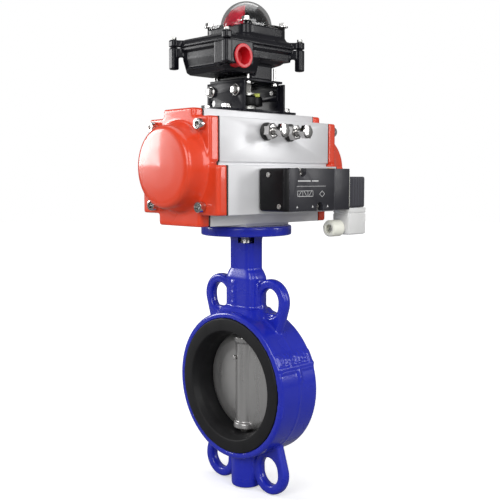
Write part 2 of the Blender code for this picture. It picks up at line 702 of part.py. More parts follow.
def gear_outline():
    base = PITCH_RADIUS * math.cos(PRESSURE_ANGLE)
    root = PITCH_RADIUS - DEDENDUM
    tip = PITCH_RADIUS + ADDENDUM
    flank = involute_flank(base, tip)
    roll = math.tan(PRESSURE_ANGLE)
    at_pitch = roll - PRESSURE_ANGLE
    half_tooth = (math.pi * GEAR_MODULE / 2 - BACKLASH) / (2 * PITCH_RADIUS)
    points = []
    for tooth in range(GEAR_TEETH):
        middle = math.tau * tooth / GEAR_TEETH
        rising = [(r, middle - half_tooth - at_pitch + a) for r, a in flank]
        falling = [(r, middle + half_tooth + at_pitch - a) for r, a in reversed(flank)]
        start = (root, rising[0][1])
        end = (root, falling[-1][1])
        points += [start] + rising + falling + [end]
    return [(r * math.cos(a), r * math.sin(a)) for r, a in points]


def rack_outline(side):
    """Toothed leg in (x, y) for the left piston, teeth towards the pinion; side -1 is turned half round."""
    pitch = math.pi * GEAR_MODULE
    tip_y = PITCH_RADIUS - ADDENDUM
    root_y = PITCH_RADIUS + DEDENDUM
    slope = math.tan(PRESSURE_ANGLE)
    half_tip = (pitch / 2 - BACKLASH) / 2 - ADDENDUM * slope
    half_root = (pitch / 2 - BACKLASH) / 2 + DEDENDUM * slope
    points = [(-PISTON_INNER_X - MM, RACK_BACK_Y), (-PISTON_INNER_X - MM, root_y)]
    for tooth in range(-4, 5):
        x = tooth * pitch
        points += [(x - half_root, root_y), (x - half_tip, tip_y)]
        points += [(x + half_tip, tip_y), (x + half_root, root_y)]
    points += [(RACK_END_X, root_y), (RACK_END_X, RACK_BACK_Y)]
    return [(side * x, side * y) for x, y in points]


def make_piston(name, side):
    """side is 1 for the left piston, whose rack passes on the +Y side, and -1 for the right one."""
    groove = (PISTON_INNER_X + 5 * MM, PISTON_INNER_X + 10 * MM)
    profile = [
        (0, PISTON_INNER_X), (PISTON_RADIUS, PISTON_INNER_X), (PISTON_RADIUS, groove[0]),
        (33.6 * MM, groove[0]), (33.6 * MM, groove[1]), (PISTON_RADIUS, groove[1]),
        (PISTON_RADIUS, PISTON_OUTER_X), (28 * MM, PISTON_OUTER_X), (24 * MM, PISTON_OUTER_X - 8 * MM),
        (0, PISTON_OUTER_X - 8 * MM),
    ]
    head = turned(name, [(r, -side * x) for r, x in profile], "X", 32, (0, 0, BORE_Z))
    leg = prism("leg", rack_outline(side), "Z", BORE_Z - GEAR_HALF_HEIGHT, BORE_Z + GEAR_HALF_HEIGHT)
    join(head, leg)
    return done(head, "anodised", smooth=True, origin=(-side * PISTON_OUTER_X, 0, BORE_Z))


def make_piston_seal(name, side):
    low, high = PISTON_INNER_X + 5.4 * MM, PISTON_INNER_X + 9.6 * MM
    inner, outer = 34.0 * MM, 37.55 * MM
    profile = [(inner, low), (outer, low), (outer, high), (inner, high)]
    ring = turned(name, [(r, -side * x) for r, x in profile], "X", 32, (0, 0, BORE_Z))
    return done(ring, "seat_rubber", smooth=True, origin=(-side * PISTON_OUTER_X, 0, BORE_Z))


def make_pinion():
    low = BODY_BOTTOM - 0.6 * MM
    waist = PINION_RADIUS + MM
    profile = [
        (0, low), (COLLAR_RADIUS, low), (COLLAR_RADIUS, 182 * MM), (waist, 184 * MM), (waist, 206 * MM),
        (waist, CAM_LOW - 2 * MM), (PINION_RADIUS, CAM_LOW - MM), (PINION_RADIUS, PINION_TOP),
        (0, PINION_TOP),
    ]
    pinion = turned("pinion", profile, "Z", 20)
    gear = prism("gear", gear_outline(), "Z", BORE_Z - GEAR_HALF_HEIGHT - MM, BORE_Z + GEAR_HALF_HEIGHT + MM)
    join(pinion, gear)
    half = STEM_SQUARE / 2 + GAP
    socket = prism("socket", rounded_rectangle(half, half, MM, steps=2), "Z", low - MM, STEM_TOP + 2 * MM)
    slot = block("slot", (-20 * MM, -2.2 * MM, PINION_TOP - 5 * MM), (20 * MM, 2.2 * MM, PINION_TOP + MM))
    cut(pinion, socket, slot)
    return done(pinion, "zinc_steel", smooth=True)


def make_stop_cam():
    """A sector that meets one travel stop at each end of the quarter turn."""
    first, last = CAM_SECTOR
    steps = 8
    lobe = [first + (last - first) * i / steps for i in range(steps + 1)]
    rest = [last + (math.tau - last + first) * i / steps for i in range(steps + 1)]
    outline = [(CAM_LOBE_RADIUS * math.cos(a), CAM_LOBE_RADIUS * math.sin(a)) for a in lobe]
    outline += [(CAM_HUB_RADIUS * math.cos(a), CAM_HUB_RADIUS * math.sin(a)) for a in rest]
    cam = prism("stop_cam", outline, "Z", CAM_LOW, CAM_HIGH)
    cut(cam, rod("way", PINION_RADIUS + GAP, "Z", CAM_LOW - MM, CAM_HIGH + MM, steps=20))
    return done(cam, "zinc_steel")


def make_pinion_rings():
    inner = COLLAR_RADIUS + GAP
    done(tube("lower_bearing", inner, BEARING_RADIUS, "Z", 163 * MM, 176 * MM, 20), "black_plastic", True)
    inner = PINION_RADIUS + GAP
    done(tube("upper_bearing", inner, BEARING_RADIUS, "Z", 256 * MM, BODY_TOP, 20), "black_plastic", True)
    low = BODY_TOP + GAP
    done(tube("thrust_washer", inner, 17.4 * MM, "Z", low, low + 3.2 * MM, 20), "black_plastic", True)


def make_position_indicator():
    """A cap on the pinion with a pointer that looks at the solenoid valve while the disc is shut."""
    low, high = INDICATOR_LOW, INDICATOR_HIGH
    inner = PINION_RADIUS + GAP
    profile = [
        (inner, low), (INDICATOR_RADIUS, low), (INDICATOR_RADIUS, high - 2 * MM),
        (INDICATOR_RADIUS - 2 * MM, high), (inner, high),
    ]
    cap = turned("position_indicator", profile, "Z", 20)
    tip = INDICATOR_RADIUS + 3 * MM
    pointer = block("pointer", (-2.2 * MM, -tip, high - 3 * MM), (2.2 * MM, -10.8 * MM, high + 1.2 * MM))
    join(cap, pointer)
    return done(cap, "indicator_lime", smooth=True)


def make_travel_stops():
    """Two hexagon-headed adjusting screws, each with a sealing ring and a lock nut on the front."""
    inner = STOP_RADIUS + GAP
    ring_back = -UPPER_HALF - GAP
    ring_front = ring_back - STOP_RING_LENGTH
    nut_back = ring_front - GAP
    for number, side in enumerate((-1, 1), 1):
        x = side * STOP_X
        head, under = -STOP_HEAD_Y, STOP_HEAD_LENGTH - STOP_HEAD_Y
        screw = rod(f"stop_screw_{number}", STOP_RADIUS, "Y", head + 0.5 * MM, -STOP_TIP_Y, (x, STOP_Z), 12)
        join(screw, rod("head", STOP_HEX_RADIUS, "Y", head, under, (x, STOP_Z), 6))
        done(screw, "chrome_screw", smooth=True, origin=(x, -STOP_HEAD_Y, STOP_Z))
        centre = (x, 0, STOP_Z)
        ring = tube(f"stop_seal_{number}", inner, STOP_RING_RADIUS, "Y", ring_front, ring_back, 16, centre)
        done(ring, "seat_rubber", smooth=True)
        nut_front = nut_back - STOP_NUT_LENGTH
        nut = rod(f"stop_nut_{number}", STOP_HEX_RADIUS, "Y", nut_front, nut_back, (x, STOP_Z), 6)
        cut(nut, rod("way", inner, "Y", nut_front - MM, nut_back + MM, (x, STOP_Z), 12))
        done(nut, "chrome_screw")


# ---------------------------------------------------------------- solenoid valve


def make_solenoid_body():
    low, high = NAMUR_Z - VALVE_HALF_HEIGHT, NAMUR_Z + VALVE_HALF_HEIGHT
    body = block("solenoid_body", (VALVE_LEFT, -VALVE_FRONT, low), (VALVE_RIGHT, -VALVE_BACK, high))
    tools = [rod("spool_way", 5.4 * MM, "X", VALVE_LEFT - MM, VALVE_RIGHT + MM, (-SPOOL_Y, NAMUR_Z), 14)]
    for x, z in namur_screw_places():
        tools.append(rod("way", 2.8 * MM, "Y", -VALVE_FRONT - MM, -VALVE_BACK + MM, (x, z), 10))
        outer = z + math.copysign(10 * MM, z - NAMUR_Z)
        low_z, high_z = sorted((z, outer))
        front = -VALVE_FRONT - MM
        corner = (x + NOTCH_RADIUS, -NOTCH_FLOOR, high_z)
        tools.append(block("notch", (x - NOTCH_RADIUS, front, low_z), corner))
        tools.append(rod("notch_end", NOTCH_RADIUS, "Y", front, -NOTCH_FLOOR, (x, z), 14))
    for side in (-1, 1):
        x = side * PORT_SPACING / 2
        tools.append(rod("outlet", PORT_RADIUS, "Y", -SPOOL_Y, -VALVE_BACK + MM, (x, NAMUR_Z), 10))
    for x, radius in ((0, 6.0 * MM), (-20 * MM, 4.4 * MM), (22 * MM, 4.4 * MM)):
        tools.append(rod("port", radius, "Z", low - MM, NAMUR_Z, (x, -SPOOL_Y), 12))
    cut(body, *tools)
    return done(body, "black_coat", smooth=True)


def make_spool():
    profile = [
        (0, -26 * MM), (4.9 * MM, -26 * MM), (4.9 * MM, -18 * MM), (3 * MM, -17 * MM), (3 * MM, -8 * MM),
        (4.9 * MM, -7 * MM), (4.9 * MM, 6 * MM), (3 * MM, 7 * MM), (3 * MM, 15 * MM), (4.9 * MM, 16 * MM),
        (4.9 * MM, 26 * MM), (0, 26 * MM),
    ]
    spool = turned("spool", profile, "X", 10, (0, -SPOOL_Y, NAMUR_Z))
    return done(spool, "anodised", smooth=True, origin=(0, -SPOOL_Y, NAMUR_Z))


def make_end_cover():
    low, high = NAMUR_Z - VALVE_HALF_HEIGHT, NAMUR_Z + VALVE_HALF_HEIGHT
    corner = (VALVE_LEFT - GAP, -VALVE_BACK, high)
    cover = block("solenoid_end_cover", (COVER_LEFT, -VALVE_FRONT, low), corner)
    return done(cover, "black_plastic")


def make_pilot_block():
    low, high = NAMUR_Z - VALVE_HALF_HEIGHT, NAMUR_Z + VALVE_HALF_HEIGHT
    start = VALVE_RIGHT + GAP
    pilot = block("pilot_block", (start, -VALVE_FRONT, low), (PILOT_RIGHT, -56 * MM, high))
    well = rod("well", BUTTON_RADIUS + 0.4 * MM, "Z", high - 6 * MM, high + MM, (BUTTON_X, -BUTTON_Y), 12)
    cut(pilot, well)
    return done(pilot, "black_plastic")


def make_override_button():
    high = NAMUR_Z + VALVE_HALF_HEIGHT
    centre = (BUTTON_X, -BUTTON_Y)
    button = rod("override_button", BUTTON_RADIUS, "Z", high - 3.8 * MM, high + 0.6 * MM, centre, 12)
    slot = block(
        "slot", (BUTTON_X - 4 * MM, -BUTTON_Y - 0.5 * MM, high - 0.4 * MM),
        (BUTTON_X + 4 * MM, -BUTTON_Y + 0.5 * MM, high + 2 * MM),
    )
    cut(button, slot)
    return done(button, "bronze", smooth=True, origin=(*centre, high))


def make_coil():
    outline = rounded_rectangle(14.5 * MM, 15 * MM, 2 * MM, (-COIL_Y, COIL_Z), 2)
    coil = prism("coil", outline, "X", PILOT_RIGHT + GAP, COIL_RIGHT)
    start, end = COIL_RIGHT - MM, COIL_NUT_RIGHT + MM
    profile = [(0, start), (CORE_RADIUS, start), (CORE_RADIUS, end), (0, end)]
    join(coil, turned("core", profile, "X", 10, (0, -COIL_Y, COIL_Z + 2 * MM)))
    return done(coil, "coil_resin", smooth=True)


def make_coil_nut():
    start, end = COIL_RIGHT + 0.4 * MM, COIL_NUT_RIGHT
    inner = CORE_RADIUS + GAP
    profile = [
        (inner, start), (8 * MM, start), (8 * MM, end - 1.4 * MM), (6.8 * MM, end), (inner, end),
    ]
    nut = turned("coil_nut", profile, "X", 12, (0, -COIL_Y, COIL_Z + 2 * MM))
    return done(nut, "coil_resin")


def make_connector():
    outline = rounded_rectangle(*PLUG_HALVES, 2 * MM, PLUG_CENTRE, 2)
    box = prism("connector", outline, "Z", PLUG_LOW, PLUG_HIGH)
    axis = (0, -GLAND_Y, GLAND_ALTITUDE)
    way = CABLE_RADIUS + 0.4 * MM
    collar = tube("collar", way, way + 2 * MM, "X", 46 * MM, 57 * MM, 14, axis)
    entry = rod("entry", way, "X", 50 * MM, 64 * MM, axis[1:], 14)
    join(box, collar)
    cut(box, entry)
    return done(box, "clear_connector", smooth=True)


def make_cable_gland():
    """The nut that grips a cable; no cable is fitted, so its way is open."""
    end, back = GLAND_END, GLAND_END + 15 * MM
    profile = [
        (CABLE_RADIUS, end), (6.8 * MM, end), (8 * MM, end + 1.8 * MM), (8.2 * MM, back), (6.9 * MM, back),
        (6.9 * MM, end + 7 * MM), (CABLE_RADIUS, end + 7 * MM),
    ]
    nut = turned("cable_gland", profile, "X", 14, (0, -GLAND_Y, GLAND_ALTITUDE))
    return done(nut, "gland_nylon", smooth=True)


def make_namur_screws():
    head, under, tip = 4 * MM - VALVE_FRONT, -77.6 * MM, -46 * MM
    for number, (x, z) in enumerate(namur_screw_places(), 1):
        profile = [(0, head), (4.2 * MM, head), (4.2 * MM, under)]
        profile += [(2.5 * MM, under), (2.5 * MM, tip), (0, tip)]
        screw = turned(f"namur_screw_{number}", profile, "Y", 10, (x, 0, z))
        cut(screw, rod("socket", 2.1 * MM, "Y", head - MM, head + 2.5 * MM, (x, z), 6))
        done(screw, "chrome_screw", smooth=True)


# ---------------------------------------------------------------- bracket and switch box


def make_lower_bracket():
    """A folded sheet: feet on the actuator and two upright sides."""
    low = BODY_TOP + GAP
    sheet = BRACKET_SHEET
    corner = (BRACKET_FOOT_X, BRACKET_FOOT_Y, low + sheet)
    base = block("lower_bracket", (-BRACKET_FOOT_X, -BRACKET_FOOT_Y, low), corner)
    sides = []
    for side in (-1, 1):
        near, far = sorted((side * BRACKET_HALF_X, side * (BRACKET_HALF_X - sheet)))
        sides.append(block("side", (near, -BRACKET_HALF_Y, low), (far, BRACKET_HALF_Y, BRACKET_SIDE_TOP)))
    join(base, *sides)
    tools = [rod("opening", 18.2 * MM, "Z", low - MM, low + 4 * MM, steps=20)]
    for side in (-1, 1):
        for y in (-15 * MM, 15 * MM):
            tools.append(rod("way", BOLT_WAY, "Z", low - MM, low + 4 * MM, (side * 40 * MM, y), 8))
    for y in BRACKET_BOLTS_Y:
        tools.append(rod("way", BOLT_WAY, "X", -40 * MM, 40 * MM, (y, BRACKET_BOLT_Z), 8))
    tools.append(rod("sight", 3.6 * MM, "X", -40 * MM, 40 * MM, (18 * MM, 278 * MM), 8))
    cut(base, *tools)
    return done(base, "black_coat")


def make_upper_bracket():
    """A folded sheet whose sides slip inside the lower one and whose top carries the switch box."""
    sheet = BRACKET_SHEET
    outer = BRACKET_HALF_X - sheet - GAP
    depth = BRACKET_HALF_Y - MM
    top = block("upper_bracket", (-outer, -depth, BRACKET_TOP - sheet), (outer, depth, BRACKET_TOP))
    sides = []
    for side in (-1, 1):
        near, far = sorted((side * outer, side * (outer - sheet)))
        sides.append(block("side", (near, -20 * MM, 282 * MM), (far, 24 * MM, BRACKET_TOP)))
    join(top, *sides)
    tools = [rod("opening", 12 * MM, "Z", 290 * MM, 305 * MM, steps=16)]
    for y in BRACKET_BOLTS_Y:
        tools.append(rod("way", BOLT_WAY, "X", -40 * MM, 40 * MM, (y, BRACKET_BOLT_Z), 8))
    cut(top, *tools)
    return done(top, "black_coat")


def box_outline(inset=0.0):
    return rounded_rectangle(BOX_HALF_X - inset, BOX_HALF_Y - inset, 2.5 * MM, (BOX_CENTRE_X, 0))


def post_outline(side_x, side_y):
    centre = (BOX_CENTRE_X + side_x * POST_X, side_y * POST_Y)
    return rounded_rectangle(POST_HALF, POST_HALF, MM, centre, 1)


def corner_posts(low, high, web_low):
    """The four bolt posts, each with a web that ties it to the box's corner."""
    pieces = []
    for sx in (-1, 1):
        for sy in (-1, 1):
            pieces.append(prism("post", post_outline(sx, sy), "Z", low, high))
            centre = (BOX_CENTRE_X + sx * POST_X, sy * POST_Y)
            root = (BOX_CENTRE_X + sx * (BOX_HALF_X - 5 * MM), sy * (BOX_HALF_Y - 5 * MM))
            outline = hull_of_circles(centre, 2.6 * MM, root, 2.4 * MM, steps=4)
            pieces.append(prism("web", outline, "Z", web_low, high - 0.2 * MM))
    return pieces


def span_rectangle(low_x, high_x, half_y, radius):
    return rounded_rectangle((high_x - low_x) / 2, half_y, radius, ((low_x + high_x) / 2, 0))


def box_hoppers():
    """The tapered underside: deep on the left, shallower on the right of the step."""
    left, right = BOX_CENTRE_X - BOX_HALF_X, BOX_CENTRE_X + BOX_HALF_X
    wall_low = 318.5 * MM
    deep = loft(
        "deep", span_rectangle(left + 3 * MM, BOX_STEP_X, 27 * MM, 2.5 * MM),
        span_rectangle(left, BOX_STEP_X, BOX_HALF_Y, 2.5 * MM), BOX_FLOOR, wall_low,
    )
    shallow = loft(
        "shallow", span_rectangle(BOX_STEP_X - 4 * MM, 18 * MM, 24 * MM, 2.5 * MM),
        span_rectangle(BOX_STEP_X - 4 * MM, right, BOX_HALF_Y - 0.2 * MM, 2.5 * MM), BOX_STEP, wall_low + MM,
    )
    return [deep, shallow]


def box_room():
    """The inside, a wall's thickness within the outside."""
    left, right = BOX_CENTRE_X - BOX_HALF_X + BOX_WALL, BOX_CENTRE_X + BOX_HALF_X - BOX_WALL
    half_y = BOX_HALF_Y - BOX_WALL
    deep = loft(
        "deep_room", span_rectangle(left + 3 * MM, BOX_STEP_X - BOX_WALL, 24 * MM, 2.5 * MM),
        span_rectangle(left, BOX_STEP_X - BOX_WALL, half_y, 2.5 * MM), BOX_FLOOR + BOX_WALL, 320 * MM,
    )
    wide = prism("wide_room", span_rectangle(left, right, half_y, 2.5 * MM), "Z", 319.5 * MM, BOX_SPLIT + MM)
    shallow = loft(
        "shallow_room", span_rectangle(BOX_STEP_X - 8 * MM, 14 * MM, 21 * MM, 2.5 * MM),
        span_rectangle(BOX_STEP_X - 8 * MM, right, half_y - 0.2 * MM, 2.5 * MM),
        BOX_STEP + BOX_WALL, 320.5 * MM,
    )
    return [deep, shallow, wide]


def make_switch_box_body():
    body = prism("switch_box_body", box_outline(), "Z", 318 * MM, BOX_SPLIT)
    pad = block("pad", (PAD_X[0], -24 * MM, BRACKET_TOP + GAP), (PAD_X[1], 24 * MM, BOX_STEP + MM))
    entry_low = (ENTRY_X[0], -ENTRY_FACE, POST_LOW)
    entry_pad = block("entry_pad", entry_low, (ENTRY_X[1], -20 * MM, BOX_SPLIT))
    join(body, *box_hoppers(), pad, entry_pad, *corner_posts(POST_LOW, BOX_SPLIT, 321 * MM))
    shaft_way = rod("shaft_way", 6.4 * MM, "Z", 290 * MM, 316 * MM, steps=16)
    entry = rod("entry", ENTRY_RADIUS, "Y", -60 * MM, -25 * MM, (PLUG_X, PLUG_Z), 20)
    cut(body, *box_room(), shaft_way, entry)
    return done(body, "black_coat", smooth=True)


def make_switch_box_cover():
    low = BOX_SPLIT + GAP
    cover = prism("switch_box_cover", box_outline(-0.6 * MM), "Z", low, BOX_TOP)
    posts = corner_posts(low, BOX_TOP, low + 0.2 * MM)
    turret = prism("turret", rounded_rectangle(TURRET_HALF, TURRET_HALF, 7 * MM), "Z", low + MM, TURRET_TOP)
    join(cover, turret, *posts)
    room = prism("room", box_outline(BOX_WALL), "Z", low - MM, BOX_TOP - BOX_WALL)
    turret_room = rod("turret_room", TURRET_ROOM_RADIUS, "Z", low - MM, TURRET_TOP + MM, steps=24)
    cut(cover, room, turret_room)
    return done(cover, "black_coat", smooth=True)


def dome_arc(radius, base, steps):
    """The profile of a half ball that stands on a height, from its rim to its top."""
    points = []
    for i in range(steps):
        angle = math.pi / 2 * i / steps
        points.append((radius * math.cos(angle), base + radius * math.sin(angle)))
    return points + [(0, base + radius)]


def make_beacon_dome():
    low = TURRET_TOP + GAP
    plate_outline = rounded_rectangle(TURRET_HALF, TURRET_HALF, 7 * MM)
    plate = prism("beacon_dome", plate_outline, "Z", low, DOME_BASE + 0.2 * MM)
    shell = turned("shell", [(0, low), (DOME_RADIUS, low)] + dome_arc(DOME_RADIUS, DOME_BASE, 5), "Z", 24)
    join(plate, shell)
    inner = DOME_RADIUS - DOME_WALL
    room = turned("room", [(0, low - MM), (inner, low - MM)] + dome_arc(inner, DOME_BASE, 5), "Z", 24)
    cut(plate, room)
    return done(plate, "clear_dome", smooth=True)


def make_beacon_rotor():
    """The domed drum that shows open or shut; it turns with the switch shaft."""
    low = ROTOR_LOW
    profile = [(0, low), (ROTOR_RADIUS, low)] + dome_arc(ROTOR_RADIUS, ROTOR_BASE, 4)
    rotor = turned("beacon_rotor", profile, "Z", 20)
    inner = ROTOR_RADIUS - 2 * MM
    room_top = ROTOR_BASE + 15.4 * MM
    room_profile = [(0, low - MM), (inner, low - MM), (inner, ROTOR_BASE), (9 * MM, room_top), (0, room_top)]
    cut(rotor, turned("room", room_profile, "Z", 16))
    join(rotor, rod("hub", 6 * MM, "Z", 345 * MM, 367 * MM, steps=12))
    cut(rotor, rod("way", 3.3 * MM, "Z", 340 * MM, 362 * MM, steps=10))
    return done(rotor, "beacon_red", smooth=True)


def make_switch_shaft():
    """The shaft that the pinion turns, with its two trip cams."""
    tongue_low = PINION_TOP - 4.6 * MM
    cam = 13 * MM
    profile = [
        (0, PINION_TOP + GAP), (6 * MM, PINION_TOP + GAP), (6 * MM, 316.5 * MM), (cam, 316.5 * MM),
        (cam, 320.5 * MM), (8 * MM, 321 * MM), (8 * MM, 322.5 * MM), (cam, 323 * MM), (cam, 327.5 * MM),
        (5 * MM, 328 * MM), (5 * MM, 344 * MM), (3 * MM, 344.4 * MM), (3 * MM, 361 * MM), (0, 361 * MM),
    ]
    shaft = turned("switch_shaft", profile, "Z", 14)
    tongue = block("tongue", (-5.5 * MM, -1.8 * MM, tongue_low), (5.5 * MM, 1.8 * MM, PINION_TOP + 2 * MM))
    join(shaft, tongue)
    return done(shaft, "zinc_steel", smooth=True)


def make_conduit_plug():
    """A screwed blanking plug with a deep round recess, its rim on the entry pad."""
    seat = -ENTRY_FACE - GAP
    rim = seat - 1.5 * MM
    shank = ENTRY_RADIUS - 0.4 * MM
    recess = 7.6 * MM
    end, floor = -28 * MM, -31 * MM
    profile = [
        (0, floor), (recess, floor), (recess, rim), (PLUG_RADIUS - 0.6 * MM, rim),
        (PLUG_RADIUS, rim + 0.6 * MM), (PLUG_RADIUS, seat), (shank, seat), (shank, end), (0, end),
    ]
    plug = turned("conduit_plug", profile, "Y", 20, (PLUG_X, 0, PLUG_Z))
    return done(plug, "plug_red", smooth=True)


def main():
    clear_scene()
    make_valve_body()
    make_seat_liner()
    make_disc()
    make_stem()
    make_taper_pin()
    make_stem_rings()
    make_flange_screws()
    make_actuator_body()
    for label, side in (("left", -1), ("right", 1)):
        make_end_cap(f"end_cap_{label}", side)
        make_cap_gasket(f"cap_gasket_{label}", side)
        make_cap_screws(side, label)
    make_piston("piston_left", 1)
    make_piston("piston_right", -1)
    make_piston_seal("piston_seal_left", 1)
    make_piston_seal("piston_seal_right", -1)
    make_pinion()
    make_stop_cam()
    make_pinion_rings()
    make_position_indicator()
    make_travel_stops()
    make_solenoid_body()
    make_spool()
    make_end_cover()
    make_pilot_block()
    make_override_button()
    make_coil()
    make_coil_nut()
    make_connector()
    make_cable_gland()
    make_namur_screws()
    make_lower_bracket()
    make_upper_bracket()
    make_switch_box_body()
    make_switch_box_cover()
    make_beacon_dome()
    make_beacon_rotor()
    make_switch_shaft()
    make_conduit_plug()


main()
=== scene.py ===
# %% [markdown]
# # A pneumatic butterfly valve
# A cast-iron wafer valve stands at the bottom. An air cylinder on top of it turns the disc, a solenoid
# valve on its side feeds the air, and a switch box with a beacon reports where the disc stands. The
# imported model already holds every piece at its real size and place. This lesson gives the pieces that
# show their cast, folded, turned or moulded surfaces, and leaves the motion alone.

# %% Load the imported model
import math

import bmesh
import bpy
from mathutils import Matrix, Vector


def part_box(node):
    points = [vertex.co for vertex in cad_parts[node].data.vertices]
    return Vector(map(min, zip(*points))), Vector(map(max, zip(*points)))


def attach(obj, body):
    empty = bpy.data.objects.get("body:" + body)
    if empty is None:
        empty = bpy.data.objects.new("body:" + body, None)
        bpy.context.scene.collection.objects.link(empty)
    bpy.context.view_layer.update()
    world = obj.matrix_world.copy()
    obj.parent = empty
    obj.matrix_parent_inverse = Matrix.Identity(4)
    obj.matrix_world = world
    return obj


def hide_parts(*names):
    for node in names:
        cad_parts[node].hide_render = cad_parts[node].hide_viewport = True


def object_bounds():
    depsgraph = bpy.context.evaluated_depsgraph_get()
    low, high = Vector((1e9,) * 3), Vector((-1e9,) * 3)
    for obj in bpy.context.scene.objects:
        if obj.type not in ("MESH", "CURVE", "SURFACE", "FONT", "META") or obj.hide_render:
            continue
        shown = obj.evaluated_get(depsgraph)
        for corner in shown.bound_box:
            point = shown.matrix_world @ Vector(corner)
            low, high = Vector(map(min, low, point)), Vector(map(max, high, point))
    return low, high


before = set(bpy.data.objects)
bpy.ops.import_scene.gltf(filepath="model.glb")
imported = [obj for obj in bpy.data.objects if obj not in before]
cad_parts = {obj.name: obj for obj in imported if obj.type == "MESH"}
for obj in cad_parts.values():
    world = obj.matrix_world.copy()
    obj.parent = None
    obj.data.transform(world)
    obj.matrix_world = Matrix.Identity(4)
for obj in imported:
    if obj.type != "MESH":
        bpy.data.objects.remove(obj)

cad_low, cad_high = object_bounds()
print("packed model", [round(side, 3) for side in cad_high - cad_low], "m")

# %% [markdown]
# ## Working in millimetres
# Blender's unit is the metre, but a machine drawing is in millimetres, so each helper below takes
# millimetres and scales once, when the mesh is made. `span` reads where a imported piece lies, and most
# places in the lesson are worked out from it.

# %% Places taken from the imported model
MM = 0.001
HOUSING = "housing"
DRIVE = "drive"


def span(node):
    low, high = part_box(node)
    return low / MM, high / MM


def middle(node):
    low, high = span(node)
    return (low + high) / 2


seat_low, seat_high = span("seat_liner")
body_low, body_high = span("valve_body")
shell_high = span("actuator_body")[1]
box_low, box_high = span("switch_box_body")
cover_low, cover_high = span("switch_box_cover")
print("liner", seat_low, seat_high)

# %% [markdown]
# ## Making solids
# Nearly every piece here is either turned on a lathe, pushed along an axis from a flat outline, or
# blended between two outlines. Three small functions do that. A fourth rounds the corners of an
# outline with short curves, because real edges are never quite sharp and the soft edge is what
# catches the light.

# %% Solids from profiles and outlines
AXES = {"X": (1, 2, 0), "Y": (0, 2, 1), "Z": (0, 1, 2)}


def spot(axis, a, b, along, centre=(0, 0, 0)):
    """A point from two cross coordinates and a place along an axis."""
    point = Vector(centre)
    first, second, third = AXES[axis]
    point[first] += a
    point[second] += b
    point[third] += along
    return point


def solid(name, vertices, faces):
    mesh = bpy.data.meshes.new(name)
    mesh.from_pydata([v * MM for v in vertices], [], faces)
    tidy = bmesh.new()
    tidy.from_mesh(mesh)
    bmesh.ops.remove_doubles(tidy, verts=tidy.verts, dist=1e-7)
    bmesh.ops.recalc_face_normals(tidy, faces=tidy.faces)
    tidy.to_mesh(mesh)
    tidy.free()
    made = bpy.data.objects.new(name, mesh)
    bpy.context.scene.collection.objects.link(made)
    return made


def bridge(rings, loop):
    """Faces between rings of vertex numbers, with caps unless the rings close on themselves."""
    faces = []
    count = len(rings)
    for k in range(count if loop else count - 1):
        near, far = rings[k], rings[(k + 1) % count]
        for i in range(len(near)):
            j = (i + 1) % len(near)
            corners = dict.fromkeys((near[i], near[j], far[j], far[i]))
            if len(corners) > 2:
                faces.append(tuple(corners))
    if not loop:
        faces += [tuple(ring) for ring in (rings[0], rings[-1]) if len(set(ring)) > 2]
    return faces


def lathe(name, profile, axis, centre=(0, 0, 0), steps=96):
    """A profile of (radius, place along the axis) turned round the axis. Off the axis it makes a ring."""
    vertices = []
    rings = []
    for radius, along in profile:
        first = len(vertices)
        if radius == 0:
            vertices.append(spot(axis, 0, 0, along, centre))
            rings.append([first] * steps)
            continue
        for i in range(steps):
            angle = math.tau * i / steps
            vertices.append(spot(axis, radius * math.cos(angle), radius * math.sin(angle), along, centre))
        rings.append(list(range(first, first + steps)))
    return solid(name, vertices, bridge(rings, loop=profile[0][0] > 0))


def layers(name, outlines, axis):
    """A solid through outlines of equal count, each given as (outline, place along the axis)."""
    vertices = []
    rings = []
    for outline, along in outlines:
        rings.append(list(range(len(vertices), len(vertices) + len(outline))))
        vertices += [spot(axis, a, b, along) for a, b in outline]
    return solid(name, vertices, bridge(rings, loop=False))


def push(name, outline, axis, low, high):
    return layers(name, [(outline, low), (outline, high)], axis)


def block(name, low, high):
    outline = [(low[0], low[1]), (high[0], low[1]), (high[0], high[1]), (low[0], high[1])]
    return push(name, outline, "Z", low[2], high[2])


def rod(name, radius, axis, low, high, centre=(0, 0), steps=48):
    return push(name, circle(radius, centre, steps), axis, low, high)


# %% Outlines
def circle(radius, centre=(0, 0), steps=48):
    turn = math.tau / steps
    return [
        (centre[0] + radius * math.cos(turn * i), centre[1] + radius * math.sin(turn * i))
        for i in range(steps)
    ]


def soften(points, radius, steps=5, closed=True):
    """Replace each corner by a short curve that starts `radius` away from it."""
    result = []
    count = len(points)
    for i, point in enumerate(points):
        corner = Vector(point)
        if not closed and i in (0, count - 1):
            result.append(tuple(corner))
            continue
        before = Vector(points[i - 1]) - corner
        after = Vector(points[(i + 1) % count]) - corner
        start = corner + before.normalized() * min(radius, 0.45 * before.length)
        end = corner + after.normalized() * min(radius, 0.45 * after.length)
        for k in range(steps + 1):
            t = k / steps
            mixed = start * (1 - t) ** 2 + corner * (2 * t * (1 - t)) + end * t ** 2
            result.append(tuple(mixed))
    return result


def rectangle(half_a, half_b, centre=(0, 0), radius=0.0, steps=6):
    corners = [(half_a, half_b), (-half_a, half_b), (-half_a, -half_b), (half_a, -half_b)]
    points = [(centre[0] + a, centre[1] + b) for a, b in corners]
    return soften(points, radius, steps) if radius else points


